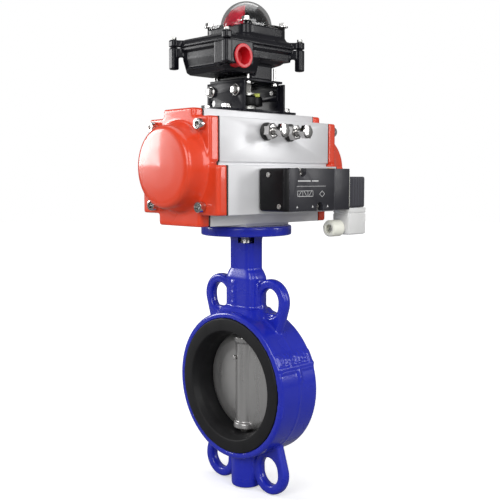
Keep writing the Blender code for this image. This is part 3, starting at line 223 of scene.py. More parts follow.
def belt(big, big_radius, small, small_radius, steps=28):
    """The outline of a belt round two circles."""
    away = Vector(big) - Vector(small)
    heading = math.atan2(away.y, away.x)
    lean = math.acos((small_radius - big_radius) / away.length)
    points = []
    for i in range(steps + 1):
        angle = heading - lean + 2 * lean * i / steps
        points.append((big[0] + big_radius * math.cos(angle), big[1] + big_radius * math.sin(angle)))
    for i in range(steps + 1):
        angle = heading + lean + (math.tau - 2 * lean) * i / steps
        points.append((small[0] + small_radius * math.cos(angle), small[1] + small_radius * math.sin(angle)))
    return points


CORNERS = [(side_a, side_b) for side_a in (-1, 1) for side_b in (-1, 1)]


def stack(name, levels):
    """A solid up Z through rounded rectangles, each (half x, half y, corner radius, height)."""
    return layers(name, [(rectangle(x, y, radius=radius), z) for x, y, radius, z in levels], "Z")


# %% [markdown]
# ## Joining, cutting and casting
# Modifiers do the heavy work and are then baked into the mesh, so every finished piece is a plain
# mesh. A casting has no sharp inside corners: melting the overlapping solids together with a voxel
# remesh and then relaxing the surface gives the same soft fillets that a foundry pattern has.

# %% Modifiers, applied at once
def apply(obj):
    graph = bpy.context.evaluated_depsgraph_get()
    mesh = bpy.data.meshes.new_from_object(obj.evaluated_get(graph))
    obj.modifiers.clear()
    obj.data = mesh
    return obj


def combine(obj, others, operation):
    for other in others:
        change = obj.modifiers.new("Combine", "BOOLEAN")
        change.operation = operation
        change.solver = "EXACT"
        change.object = other
        apply(obj)
        bpy.data.objects.remove(other, do_unlink=True)
    return obj


def cut(obj, *tools):
    return combine(obj, tools, "DIFFERENCE")


def join(obj, *parts):
    return combine(obj, parts, "UNION")


def gather(obj, *parts):
    """Put several meshes into one object without welding them."""
    whole = bmesh.new()
    whole.from_mesh(obj.data)
    for part in parts:
        whole.from_mesh(part.data)
        bpy.data.objects.remove(part, do_unlink=True)
    whole.to_mesh(obj.data)
    whole.free()
    return obj


def cast(obj, *parts, voxel=1.2, relax=6):
    """Melt overlapping solids into one skin and relax it, as a casting's fillets are."""
    gather(obj, *parts)
    melt = obj.modifiers.new("Melt", "REMESH")
    melt.mode = "VOXEL"
    melt.voxel_size = voxel * MM
    ease = obj.modifiers.new("Relax", "SMOOTH")
    ease.factor = 0.5
    ease.iterations = relax
    return apply(obj)


def round_edges(obj, width, segments=3, angle=38):
    edge = obj.modifiers.new("Round", "BEVEL")
    edge.width = width * MM
    edge.segments = segments
    edge.limit_method = "ANGLE"
    edge.angle_limit = math.radians(angle)
    edge.harden_normals = False
    edge.use_clamp_overlap = True
    return apply(obj)


def copy_of(node, name):
    """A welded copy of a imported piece, its flat faces whole again, ready for rounding."""
    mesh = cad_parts[node].data.copy()
    tidy = bmesh.new()
    tidy.from_mesh(mesh)
    bmesh.ops.remove_doubles(tidy, verts=tidy.verts, dist=2e-6)
    bmesh.ops.dissolve_limit(
        tidy, angle_limit=math.radians(1.0), verts=tidy.verts, edges=tidy.edges,
    )
    tidy.to_mesh(mesh)
    tidy.free()
    made = bpy.data.objects.new(name, mesh)
    bpy.context.scene.collection.objects.link(made)
    return made


def keep(obj, body, finish, slot, *nodes, angle=35):
    """Dress a finished piece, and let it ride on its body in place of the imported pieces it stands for."""
    obj.data.name = obj.name
    obj.data.materials.clear()
    obj.data.materials.append(finish)
    obj.data.shade_smooth()
    obj.data.set_sharp_from_angle(angle=math.radians(angle))
    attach(obj, body)
    if nodes:
        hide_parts(*nodes)
    print(f"{obj.name}: {len(obj.data.polygons)} faces on {body}")
    return obj


# %% [markdown]
# ## Shared surface effects
# Each effect that several materials need is a shader node group with named inputs: a grain that can
# be stretched into brushing, the bright line where paint thins over an edge, and the dust that
# settles on what faces up. Every material then places the groups with its own values.

# %% Node helpers
def node(tree, kind, inputs=None, **settings):
    """Add a node, set its properties, and fill its inputs with values or links."""
    made = tree.nodes.new(kind)
    for key, value in settings.items():
        setattr(made, key, value)
    for key, value in (inputs or {}).items():
        if isinstance(value, bpy.types.NodeSocket):
            tree.links.new(value, made.inputs[key])
        else:
            made.inputs[key].default_value = value
    return made


def reckon(tree, operation, *values):
    """One sum: values or links in, one number out."""
    return node(tree, "ShaderNodeMath", dict(enumerate(values)), operation=operation).outputs[0]


def remap(tree, value, from_min, from_max, to_min=0.0, to_max=1.0):
    limits = {"From Min": from_min, "From Max": from_max, "To Min": to_min, "To Max": to_max}
    return node(tree, "ShaderNodeMapRange", {"Value": value, **limits}).outputs[0]


def noise(tree, vector, scale, detail, roughness):
    given = {"Vector": vector, "Scale": scale, "Detail": detail, "Roughness": roughness}
    return node(tree, "ShaderNodeTexNoise", given).outputs[0]


def own_place(tree):
    """The piece's own coordinates."""
    return node(tree, "ShaderNodeTexCoord").outputs["Object"]


def shader_group(name, inputs, outputs):
    group = bpy.data.node_groups.new(name, "ShaderNodeTree")
    for label, kind, value in inputs:
        socket = group.interface.new_socket(label, in_out="INPUT", socket_type=kind)
        socket.default_value = value
    for label in outputs:
        group.interface.new_socket(label, in_out="OUTPUT", socket_type="NodeSocketFloat")
    return group, group.nodes.new("NodeGroupInput"), group.nodes.new("NodeGroupOutput")


# %% Grain: noise in the piece's own coordinates, at two sizes
MOTTLE_SCALE = 0.045


def make_grain():
    group, given, put = shader_group(
        "Grain",
        [("Scale", "NodeSocketFloat", 900.0), ("Stretch", "NodeSocketVector", (1, 1, 1))],
        ("Height", "Mottle"),
    )
    stretch = {"Vector": own_place(group), "Scale": given.outputs["Stretch"]}
    drawn = node(group, "ShaderNodeMapping", stretch).outputs[0]
    wide_scale = reckon(group, "MULTIPLY", given.outputs["Scale"], MOTTLE_SCALE)
    group.links.new(noise(group, drawn, given.outputs["Scale"], 4.0, 0.55), put.inputs["Height"])
    group.links.new(noise(group, drawn, wide_scale, 3.0, 0.6), put.inputs["Mottle"])
    return group


# %% Worn edges: where a rounded normal leaves the true one
def make_worn_edges():
    group, given, put = shader_group(
        "Worn edges", [("Width", "NodeSocketFloat", 0.0005), ("Amount", "NodeSocketFloat", 0.5)], ("Mask",),
    )
    shape = node(group, "ShaderNodeNewGeometry")
    rounded = node(group, "ShaderNodeBevel", {"Radius": given.outputs["Width"]}, samples=4)
    agree = node(
        group, "ShaderNodeVectorMath", {0: shape.outputs["Normal"], 1: rounded.outputs[0]},
        operation="DOT_PRODUCT",
    )
    edge = remap(group, agree.outputs["Value"], 0.995, 0.93)
    broken = remap(group, noise(group, own_place(group), 260.0, 5.0, 0.65), 0.42, 0.62)
    both = reckon(group, "MULTIPLY", edge, broken)
    group.links.new(reckon(group, "MULTIPLY", both, given.outputs["Amount"]), put.inputs["Mask"])
    return group


# %% Dust: thin and patchy, on faces that look up
def make_dust():
    group, given, put = shader_group("Dust", [("Amount", "NodeSocketFloat", 0.2)], ("Mask",))
    shape = node(group, "ShaderNodeNewGeometry")
    split = node(group, "ShaderNodeSeparateXYZ", {"Vector": shape.outputs["Normal"]})
    upward = remap(group, split.outputs["Z"], -0.2, 1.0)
    patchy = remap(group, noise(group, own_place(group), 70.0, 6.0, 0.7), 0.35, 0.75)
    both = reckon(group, "MULTIPLY", upward, patchy)
    group.links.new(reckon(group, "MULTIPLY", both, given.outputs["Amount"]), put.inputs["Mask"])
    return group


GRAIN = make_grain()
WORN_EDGES = make_worn_edges()
DUST = make_dust()
print("shader groups", [g.name for g in (GRAIN, WORN_EDGES, DUST)])

# %% [markdown]
# ## Finishes
# One recipe covers every opaque finish. The grain shifts the colour a little and carries the bump,
# its wide part moves the roughness so that highlights break up, worn edges show what lies under the
# coat, and dust lightens the upper faces. What differs is the numbers: paint has a clear coat,
# anodised aluminium is brushed along its length, rubber is dull and mottled.

# %% The recipe
DUST_COLOUR = (0.55, 0.53, 0.5, 1.0)
COAT_ROUGHNESS = 0.06
WEAR_WIDTH = 0.5


def place_group(tree, group, **values):
    made = tree.nodes.new("ShaderNodeGroup")
    made.node_tree = group
    for key, value in values.items():
        made.inputs[key].default_value = value
    return made


def mix(tree, factor, first, second):
    made = tree.nodes.new("ShaderNodeMix")
    made.data_type = "RGBA"
    for index, value in ((0, factor), (6, first), (7, second)):
        if isinstance(value, bpy.types.NodeSocket):
            tree.links.new(value, made.inputs[index])
        else:
            made.inputs[index].default_value = value
    return made.outputs[2]


def shade(colour, factor):
    return tuple(min(1.0, c * factor) for c in colour[:3]) + (1.0,)


def finish(
    name, colour, roughness, metallic=0.0, scale=900.0, stretch=(1, 1, 1), bump=0.02, spread=0.06,
    variation=0.08, worn=0.0, under=(0.4, 0.4, 0.4), dust=0.1, coat=0.0, pattern=None, shine=0.5,
):
    material = bpy.data.materials.new(name)
    material.use_nodes = True
    tree = material.node_tree
    shader = tree.nodes["Principled BSDF"]
    grain = place_group(tree, GRAIN, Scale=scale, Stretch=stretch)
    worn_mask = place_group(tree, WORN_EDGES, Width=WEAR_WIDTH * MM, Amount=worn)
    dust_mask = place_group(tree, DUST, Amount=dust)
    base = mix(tree, grain.outputs["Mottle"], shade(colour, 1 - variation), shade(colour, 1 + variation))
    if pattern:
        base = pattern(tree, base)
    base = mix(tree, worn_mask.outputs["Mask"], base, shade(under, 1.0))
    base = mix(tree, dust_mask.outputs["Mask"], base, DUST_COLOUR)
    tree.links.new(base, shader.inputs["Base Color"])
    rough = remap(tree, grain.outputs["Mottle"], 0.3, 0.7, roughness - spread, roughness + spread)
    dusty = reckon(tree, "ADD", dust_mask.outputs["Mask"], rough)
    tree.links.new(dusty, shader.inputs["Roughness"])
    relief = node(
        tree, "ShaderNodeBump", {"Height": grain.outputs["Height"], "Strength": 1.0, "Distance": bump * MM},
    )
    tree.links.new(relief.outputs[0], shader.inputs["Normal"])
    shader.inputs["Metallic"].default_value = metallic
    shader.inputs["Specular IOR Level"].default_value = shine
    shader.inputs["Coat Weight"].default_value = coat
    shader.inputs["Coat Roughness"].default_value = COAT_ROUGHNESS
    return material


# %% The opaque finishes
BLUE_PAINT = finish(
    "Cobalt paint", (0.010, 0.020, 0.42), 0.27, scale=420, bump=0.05, spread=0.07, variation=0.14,
    worn=0.35, under=(0.12, 0.14, 0.6), dust=0.03, coat=0.35, shine=0.35,
)
ORANGE_PAINT = finish(
    "Orange paint", (0.74, 0.052, 0.014), 0.28, scale=380, bump=0.02, spread=0.05, variation=0.07,
    worn=0.5, under=(0.95, 0.32, 0.2), dust=0.03, coat=0.5, shine=0.35,
)
LINER_RUBBER = finish(
    "Liner rubber", (0.007, 0.007, 0.008), 0.5, scale=1400, bump=0.03, spread=0.1, variation=0.3,
    worn=0.3, under=(0.07, 0.07, 0.07), dust=0.01, shine=0.25,
)
SEAL_RUBBER = finish("Seal rubber", (0.012, 0.012, 0.012), 0.45, scale=1600, bump=0.02, dust=0.05)
DISC_STEEL = finish(
    "Satin stainless", (0.42, 0.415, 0.41), 0.32, metallic=0.75, scale=1500, stretch=(1, 1, 0.06),
    bump=0.012, spread=0.08, variation=0.12, worn=0.6, under=(0.75, 0.74, 0.72), dust=0.05,
)
SHAFT_STEEL = finish(
    "Turned steel", (0.5, 0.49, 0.47), 0.28, metallic=1.0, scale=1800, stretch=(0.08, 0.08, 1),
    bump=0.01, variation=0.1, dust=0.05,
)
ALUMINIUM = finish(
    "Anodised aluminium", (0.74, 0.74, 0.755), 0.42, metallic=0.3, scale=1300, stretch=(0.035, 1, 1),
    bump=0.012, spread=0.05, variation=0.05, worn=0.5, under=(0.9, 0.9, 0.9), dust=0.03,
)
CHROME = finish(
    "Bright plating", (0.62, 0.61, 0.60), 0.16, metallic=1.0, scale=900, bump=0.006, spread=0.04,
    variation=0.1, worn=0.3, under=(0.85, 0.85, 0.85), dust=0.05,
)
ZINC = finish(
    "Zinc plating", (0.48, 0.48, 0.46), 0.36, metallic=1.0, scale=800, bump=0.01, spread=0.08,
    variation=0.16, dust=0.08,
)
BRONZE = finish("Bronze", (0.55, 0.34, 0.14), 0.34, metallic=1.0, scale=1200, bump=0.01, dust=0.05)
BLACK_PAINT = finish(
    "Black box paint", (0.006, 0.006, 0.009), 0.26, scale=700, bump=0.035, spread=0.07, variation=0.3,
    worn=0.5, under=(0.16, 0.16, 0.18), dust=0.014, coat=0.1, shine=0.2,
)
BRACKET_PAINT = finish(
    "Black bracket coat", (0.007, 0.007, 0.011), 0.32, scale=1100, bump=0.03, spread=0.08, variation=0.3,
    worn=0.6, under=(0.2, 0.2, 0.21), dust=0.018, shine=0.14,
)
BLACK_ANODISE = finish(
    "Black anodised block", (0.016, 0.016, 0.022), 0.38, scale=1500, stretch=(0.1, 1, 1), bump=0.012,
    spread=0.05, variation=0.2, worn=0.55, under=(0.3, 0.3, 0.32), dust=0.02, shine=0.45,
)
BLACK_NYLON = finish(
    "Black nylon", (0.004, 0.004, 0.005), 0.34, scale=1500, bump=0.03, variation=0.25, worn=0.35,
    under=(0.12, 0.12, 0.13), dust=0.02, shine=0.18,
)
COIL_RESIN = finish(
    "Coil resin", (0.042, 0.042, 0.052), 0.5, scale=1600, bump=0.05, spread=0.08, variation=0.16,
    worn=0.3, under=(0.2, 0.2, 0.21), dust=0.03, shine=0.35,
)
GLAND_NYLON = finish(
    "Gland nylon", (0.9, 0.9, 0.8), 0.42, scale=1200, bump=0.02, variation=0.06, dust=0.04,
)
PLUG_PLASTIC = finish(
    "Red plug plastic", (0.62, 0.012, 0.022), 0.3, scale=1000, bump=0.015, variation=0.12, worn=0.35,
    under=(0.8, 0.16, 0.16), dust=0.04,
)
POINTER_PLASTIC = finish(
    "Yellow-green pointer", (0.62, 0.68, 0.12), 0.38, scale=1000, bump=0.015, variation=0.1, dust=0.05,
)
PRINT = finish("Printed marks", (0.62, 0.62, 0.62), 0.55, scale=2500, bump=0.004, variation=0.2, dust=0.0)

# %% [markdown]
# ## The beacon's drum, and the clear plastics
# The drum under the dome is black with two red quarters, so that it shows red from the side when
# the valve is shut. The colour follows the angle round the drum's own axis, and the drum's own
# coordinates turn with it. The dome itself is clear plastic; the connector is milky, which a little
# transmission under a pale base gives.

# %% Drum colours
RED_MIDDLE = math.radians(177)
DRUM_RED = (0.62, 0.008, 0.035, 1.0)
PLASTIC_IOR = 1.35


def red_quarters(tree, base):
    split = node(tree, "ShaderNodeSeparateXYZ", {"Vector": own_place(tree)})
    angle = reckon(tree, "ARCTAN2", split.outputs["Y"], split.outputs["X"])
    twice = reckon(tree, "MULTIPLY", reckon(tree, "SUBTRACT", angle, RED_MIDDLE), 2.0)
    inside = reckon(tree, "GREATER_THAN", reckon(tree, "COSINE", twice), 0.0)
    return mix(tree, inside, base, DRUM_RED)


DRUM = finish(
    "Beacon drum", (0.010, 0.010, 0.012), 0.25, scale=900, bump=0.01, variation=0.2, dust=0.0,
    pattern=red_quarters,
)


def clear(name, colour, transmission, roughness, bump, variation):
    material = finish(
        name, colour, roughness, scale=500, bump=bump, spread=0.02, variation=variation, dust=0.0,
    )
    shader = material.node_tree.nodes["Principled BSDF"]
    shader.inputs["Transmission Weight"].default_value = transmission
    shader.inputs["IOR"].default_value = PLASTIC_IOR
    return material


DOME_PLASTIC = clear("Clear dome plastic", (0.97, 0.97, 0.97), 1.0, 0.04, 0.004, 0.02)
MILKY_PLASTIC = clear("Milky connector plastic", (0.95, 0.95, 0.94), 0.3, 0.3, 0.02, 0.02)
print(len(bpy.data.materials), "materials")

# %% [markdown]
# ## The wafer casting
# The body is one iron casting: a ring, four eyes for the pipe bolts, a neck with a flange on top, and
# a boss below. Each is modelled as its own solid, they are melted together for the foundry fillets,
# and only then are the machined holes cut, because machining comes after casting and leaves crisp
# edges.

# %% The ring and its raised cast marks
RING_RADIUS = body_high.y
RING_HALF = 25.2
LINER_ROOM = 60.3
LIP_ROOM = 67.5


def ring_casting():
    outside = soften(
        [(LIP_ROOM, -RING_HALF), (RING_RADIUS, -RING_HALF), (RING_RADIUS, RING_HALF), (LIP_ROOM, RING_HALF)],
        2.6, steps=6, closed=False,
    )
    inside = [(LIP_ROOM, 22.5), (LINER_ROOM, 22.5), (LINER_ROOM, -22.5), (LIP_ROOM, -22.5)]
    ring = lathe("valve_casting", outside + inside, "X", steps=192)
    seam = lathe("seam", [(72.0, -0.9), (74.0, -0.35), (74.0, 0.35), (72.0, 0.9)], "X", steps=192)
    return ring, seam


def on_ring(name, angle, half_angle, low, high, rise):
    """A plate that lies on the ring, centred at an angle from +Y."""
    steps = 12
    outline = []
    for radius, order in ((RING_RADIUS - 2.5, 1), (RING_RADIUS + rise, -1)):
        for i in range(steps + 1):
            t = math.radians(angle + order * half_angle * (2 * i / steps - 1))
            outline.append((radius * math.cos(t), radius * math.sin(t)))
    return push(name, outline, "X", low, high)


def cast_marks():
    """A raised pad with plain bars on it, and two witness ribs: generic foundry marks."""
    marks = [
        on_ring("pad", 152.5, 5.2, -24, 25, 0.5),
        on_ring("rib", 158.8, 1.0, -24, 25, 1.5),
        on_ring("rib", 161.6, 0.5, -22, 24, 0.8),
        on_ring("rib", 165.5, 5.2, 1.6, 3.4, 1.1),
    ]
    for index in range(10):
        start = -21.5 + index * 4.4
        tall = (4.2, 2.6, 3.6)[index % 3]
        marks.append(on_ring("bar", 152.0 + (index % 2) * 0.5, tall, start, start + 2.0, 1.8))
        marks.append(on_ring("bar", 150.5 + (index % 4), 0.9, start + 1.2, start + 3.8, 1.8))
    return marks


# %% The eyes, neck, flange and boss
EYE = (35.5, 86.0)
EYE_ROOT = (40.0, 58.0)


def eye(side_y, side_z):
    """A rounded bar bent into an eye: its outline swells to the middle of its thickness."""
    centre = (side_y * EYE[0], side_z * EYE[1])
    root = (side_y * EYE_ROOT[0], side_z * EYE_ROOT[1])
    sections = ((-5.0, 1.9), (-3.9, 0.6), (-1.5, 0.0), (1.5, 0.0), (3.9, 0.6), (5.0, 1.9))
    outer = [(belt(centre, 21.8 - inset, root, 9.0 - inset), x) for x, inset in sections]
    plate = layers("eye", outer, "X")
    hole_root = (side_y * 35.2, side_z * 82.6)
    way = [(-6.0, 2.1), (-5.0, 1.5), (-3.6, 0.4), (-1.5, 0.0), (1.5, 0.0), (3.6, 0.4), (5.0, 1.5), (6.0, 2.1)]
    hole = layers("hole", [(belt(centre, 12.1 + flare, hole_root, 12.0 + flare), x) for x, flare in way], "X")
    return cut(plate, hole)


FLANGE_LOW = body_high.z - 9.6
FLANGE_SCREW = 24.75


def neck_casting():
    neck_levels = [(10.5, 15.5, 7, 80), (10.5, 15.5, 7, 144), (11, 16, 7, 148), (13, 18, 8, FLANGE_LOW + 1)]
    neck = stack("neck", neck_levels)
    shank = stack("shank", [(12.6, 20, 8, 63), (12.6, 20, 8, 107), (12.2, 19.4, 8, 109), (11, 17, 7, 114)])
    saddle = stack("saddle", [(23, 33, 9, 60), (19, 28, 9, 70), (15, 23, 8, 77)])
    flange = lathe(
        "flange",
        soften([(0, FLANGE_LOW), (45, FLANGE_LOW), (45, body_high.z), (0, body_high.z)], 1.3, 4, False),
        "Z", steps=160,
    )
    foot = body_low.z + 0.8
    boss_profile = [(0, foot), (15.3, foot), (15.5, -76), (17.5, -70), (18, -62), (0, -62)]
    boss = lathe("boss", soften(boss_profile, 2.2, 4, False), "Z", steps=96)
    webs = [block("web", (-3, side * 31 - 12, 60), (3, side * 31 + 12, 74)) for side in (-1, 1)]
    marks = [block("bar", (-13.5, 3.2, z), (13.5, 8.4 - (z % 2) * 2, z + 2.6)) for z in (80, 85, 90, 95, 100)]
    return [neck, shank, saddle, flange, boss, *webs, *marks]


# %% Melt, then machine
WINDOW_HALF = 8.1
WINDOW_LOW = 141.5
WINDOW_HIGH = 148.0


def window():
    """The slot in the neck's front left corner, where the stem shows."""
    outward = Vector((-1, -1)).normalized()
    across = Vector((-outward.y, outward.x)) * WINDOW_HALF
    end = outward * 30
    corners = [tuple(p) for p in (across, end + across, end - across, -across)]
    return push("window", corners, "Z", WINDOW_LOW, WINDOW_HIGH)


def machining():
    tools = [
        rod("stem_way", 8.3, "Z", 50, body_high.z + 1, steps=64),
        window(),
        rod("recess", 27.6, "Z", body_high.z - 2, body_high.z + 1, steps=96),
    ]
    head = [
        (0, FLANGE_LOW - 4), (7.1, FLANGE_LOW - 4), (7.1, FLANGE_LOW + 5.4), (4.5, FLANGE_LOW + 5.4),
        (4.5, body_high.z + 1), (0, body_high.z + 1),
    ]
    for side_x, side_y in CORNERS:
        tools.append(lathe("screw_way", head, "Z", (side_x * FLANGE_SCREW, side_y * FLANGE_SCREW, 0), 40))
    return tools


def make_casting():
    ring, seam = ring_casting()
    eyes = [eye(side_y, side_z) for side_y, side_z in CORNERS]
    body = cast(ring, seam, *cast_marks(), *eyes, *neck_casting(), voxel=1.05, relax=4)
    print("cast skin", len(body.data.polygons), "faces")
    cut(body, *machining())
    return keep(body, HOUSING, BLUE_PAINT, "blue_enamel", "valve_body", angle=40)


make_casting()

# %% [markdown]
# ## Liner, disc and stem
# The liner is a rubber sleeve turned over both faces of the ring: its mouth is rounded so that the
# disc can slide in. The disc is cast in stainless steel with a hub across it for the stem, so it
# is melted together like the body, with finer voxels. A taper pin through the hub locks it.

# %% Liner
def make_liner():
    half = seat_high.x
    face = 67.2
    profile = soften(
        [(50.4, -14), (51.4, -19), (54.6, -half), (face, -half), (face, 3.2 - half), (60, 3.2 - half),
         (60, half - 3.2), (face, half - 3.2), (face, half), (54.6, half), (51.4, 19), (50.4, 14)],
        1.2, steps=4,
    )
    liner = lathe("liner_sleeve", profile, "X", steps=192)
    cut(liner, rod("top", 8.2, "Z", 40, 70), rod("bottom", 6.3, "Z", -70, -40))
    keep(liner, HOUSING, LINER_RUBBER, "seat_rubber", "seat_liner")


make_liner()


# %% Disc
def make_disc():
    disc_radius = span("disc")[1].y
    profile = [
        (0, -6.4), (18, -6.2), (34, -5.2), (44, -3.9), (48.6, -2.0), (disc_radius, -1.0), (disc_radius, 1.0),
        (48.6, 2.0), (44, 3.9), (34, 5.2), (18, 6.2), (0, 6.4),
    ]
    plate = lathe("disc_casting", profile, "X", steps=160)
    hub = lathe("hub", soften([(0, -48), (10.5, -48), (10.5, 48), (0, 48)], 0.6, 3, False), "Z", steps=72)
    pads = []
    for side in (-1, 1):
        points = [(0, side * 41), (12.4, side * 41), (13.2, side * 46.6), (0, side * 48.2)]
        pads.append(lathe("pad", points, "Z", steps=72))
    disc = cast(plate, hub, *pads, voxel=0.8, relax=4)
    pin = middle("taper_pin")
    cut(
        disc,
        rod("way", 6.3, "Z", -60, 60),
        rod("pin_way", 2.6, "X", -20, 20, (pin.y, pin.z), 32),
        lathe("counterbore", [(0, -12), (3.6, -12), (3.6, -8.6), (0, -8.6)], "X", (0, pin.y, pin.z), 32),
    )
    keep(disc, DRIVE, DISC_STEEL, "stainless", "disc")


make_disc()


# %% Stem and pin
def make_stem():
    low, high = span("stem")
    half = 5.6
    points = [(0, low.z), (5, low.z), (6, low.z + 1), (6, 50.4), (7.9, 50.4), (7.9, 158.3), (0, 158.3)]
    shaft = lathe("valve_stem", points, "Z", steps=64)
    join(shaft, push("square", rectangle(half, half, radius=1), "Z", 150, high.z))
    keep(round_edges(shaft, 0.25, 2), DRIVE, SHAFT_STEEL, "stainless", "stem")
    pin = middle("taper_pin")
    turned = soften([(0, -11.4), (2.3, -11.4), (2.0, 11.4), (0, 11.4)], 0.5, 3, False)
    keep(
        lathe("disc_pin", turned, "X", (0, pin.y, pin.z), 32), DRIVE, CHROME, "zinc_steel", "taper_pin",
    )


make_stem()

# %% [markdown]
# ## Actuator
# The cylinder is a length of extruded aluminium: the same section all along, so it is one outline
# pushed along X with softened corners. The end caps are die-cast and painted, so they are melted
# like the valve body. One cap is made, and the other is its mirror image with the faces turned back.

# %% Cylinder body
def section(inset=0.0, radius=1.0):
    right = [
        (30.0, 161.5), (30.0, 172.4), (53.9, 172.4), (53.9, 217.0), (40.6, 217.0), (40.6, 220.2),
        (42.8, 220.2), (42.8, 260.6), (21.8, 260.6), (21.8, 268.8),
    ]
    half = [(y - inset, z) for y, z in right]
    return soften(half + [(-y, z) for y, z in reversed(half)], radius, 4)


BORE_Z = 215.5
STOP_X = 16.0
STOP_Z = 249.0


def make_cylinder():
    half = shell_high.x
    tube = push("cylinder_body", section(radius=0.9), "X", -half, half)
    pad = rod("pad", 42, "Z", 159.6, 162.5, steps=96)
    keep_in = block("keep", (-60, -29.9, 150), (60, 29.9, 170))
    combine(pad, [keep_in], "INTERSECT")
    join(tube, pad)
    tools = [
        rod("bore", 38, "X", -half - 1, half + 1, (0, BORE_Z), 96),
        rod("pinion_way", 13.4, "Z", 150, 280, steps=64),
    ]
    tools += [rod("stop_way", 4.4, "Y", -60, -5, (side * STOP_X, STOP_Z), 32) for side in (-1, 1)]
    cut(tube, *tools)
    keep(round_edges(tube, 0.35, 2, angle=60), HOUSING, ALUMINIUM, "anodised", "actuator_body")


make_cylinder()


# %% End caps
def cap_casting():
    start, face, tip = 75.6, 87.0, 107.0
    flat = section(radius=1.4)
    rim = section(inset=1.2, radius=2.2)
    levels = [(flat, start), (flat, face - 2.4), (rim, face - 0.5), (rim, face)]
    plate = layers("end_cap_cast_right", levels, "X")
    dome_profile = soften(
        [(0, start + 3), (42.6, start + 3), (42.6, face - 1), (40.4, face + 3), (38.8, face + 10),
         (37.6, tip - 2.2), (34.4, tip), (20, tip + 0.55), (0, tip + 0.75)],
        3.0, 5, False,
    )
    dome = lathe("dome", dome_profile, "X", (0, 0, BORE_Z), 160)
    cap = cast(plate, dome, voxel=0.95, relax=7)
    room = lathe("room", [(0, 70), (36, 70), (34.4, 103), (0, 104)], "X", (0, 0, BORE_Z), 96)
    return cut(cap, room)


def mirrored(obj, name):
    other = obj.copy()
    other.data = obj.data.copy()
    other.name = name
    bpy.context.scene.collection.objects.link(other)
    turn = bmesh.new()
    turn.from_mesh(other.data)
    for vertex in turn.verts:
        vertex.co.x = -vertex.co.x
    bmesh.ops.reverse_faces(turn, faces=turn.faces)
    turn.to_mesh(other.data)
    turn.free()
    return other


def make_caps():
    right = cap_casting()
    left = mirrored(right, "end_cap_cast_left")
    keep(right, HOUSING, ORANGE_PAINT, "orange_enamel", "end_cap_right", angle=40)
    keep(left, HOUSING, ORANGE_PAINT, "orange_enamel", "end_cap_left", angle=40)


make_caps()

# %% [markdown]
# ## Fasteners, scattered with Geometry Nodes
# A machine like this holds dozens of screws, and they come in only a few shapes. Each shape is made
# once. A Geometry Nodes tree then puts a copy on every point of a small point mesh, turns it so that
# its head looks along that point's `axis` attribute, spins it by a seeded random angle, and gives
# it a material. The result becomes a plain mesh for the body that it rides on.

# %% The scatter tree
def scatter_tree():
    tree = bpy.data.node_groups.new("Scatter fasteners", "GeometryNodeTree")
    for label, kind in (
        ("Geometry", "NodeSocketGeometry"), ("Fastener", "NodeSocketObject"), ("Seed", "NodeSocketInt"),
        ("Finish", "NodeSocketMaterial"),
    ):
        tree.interface.new_socket(label, in_out="INPUT", socket_type=kind)
    tree.interface.new_socket("Geometry", in_out="OUTPUT", socket_type="NodeSocketGeometry")
    given = tree.nodes.new("NodeGroupInput")
    put = tree.nodes.new("NodeGroupOutput")
    shape = node(tree, "GeometryNodeObjectInfo", {"Object": given.outputs["Fastener"]})
    axis = node(tree, "GeometryNodeInputNamedAttribute", {"Name": "axis"}, data_type="FLOAT_VECTOR")
    aim = node(tree, "FunctionNodeAlignEulerToVector", {"Vector": axis.outputs[0]}, axis="Z")
    spin = node(
        tree, "FunctionNodeRandomValue", {"Min": 0.0, "Max": math.tau, "Seed": given.outputs["Seed"]},
        data_type="FLOAT",
    )
    angle = node(tree, "ShaderNodeCombineXYZ", {"Z": spin.outputs[1]})
    turn = node(
        tree, "FunctionNodeRotateEuler", {"Rotation": aim.outputs[0], "Rotate By": angle.outputs[0]},
        rotation_type="EULER", space="LOCAL",
    )
    placing = {
        "Points": given.outputs["Geometry"], "Instance": shape.outputs["Geometry"],
        "Rotation": turn.outputs[0],
    }
    copies = node(tree, "GeometryNodeInstanceOnPoints", placing)
    real = node(tree, "GeometryNodeRealizeInstances", {"Geometry": copies.outputs[0]})
    dressed = node(
        tree, "GeometryNodeSetMaterial", {"Geometry": real.outputs[0], "Material": given.outputs["Finish"]},
    )
    tree.links.new(dressed.outputs[0], put.inputs[0])
    return tree


SCATTER = scatter_tree()


def scatter(name, shape, places, finish_, slot, *nodes, seed=1, body=HOUSING):
    """One copy of shape on each (point, axis) place, as a single mesh piece."""
    mesh = bpy.data.meshes.new(name)
    mesh.from_pydata([Vector(point) * MM for point, _ in places], [], [])
    attribute = mesh.attributes.new("axis", "FLOAT_VECTOR", "POINT")
    for item, (_, axis) in zip(attribute.data, places):
        item.vector = axis
    obj = bpy.data.objects.new(name, mesh)
    bpy.context.scene.collection.objects.link(obj)
    modifier = obj.modifiers.new("Scatter", "NODES")
    modifier.node_group = SCATTER
    given = {"Fastener": shape, "Seed": seed, "Finish": finish_}
    for item in SCATTER.interface.items_tree:
        if item.in_out == "INPUT" and item.name in given:
            modifier[item.identifier] = given[item.name]
    apply(obj)
    bpy.data.objects.remove(shape, do_unlink=True)
    return keep(obj, body, finish_, slot, *nodes, angle=30)


# %% Shapes of fastener, each standing on the XY plane with its head up
def socket_screw(radius, height, shank=0.0, length=0.0):
    profile = soften(
        [(0, 0), (radius, 0), (radius, height), (radius * 0.62, height), (0, height)], 0.5, 3, False,
    )
    head = lathe("screw", profile, "Z", steps=40)
    cut(head, rod("socket", radius * 0.62, "Z", height * 0.3, height + 1, steps=6))
    if length:
        join(head, rod("shank", shank, "Z", -length, 0.5, steps=24))
    return head


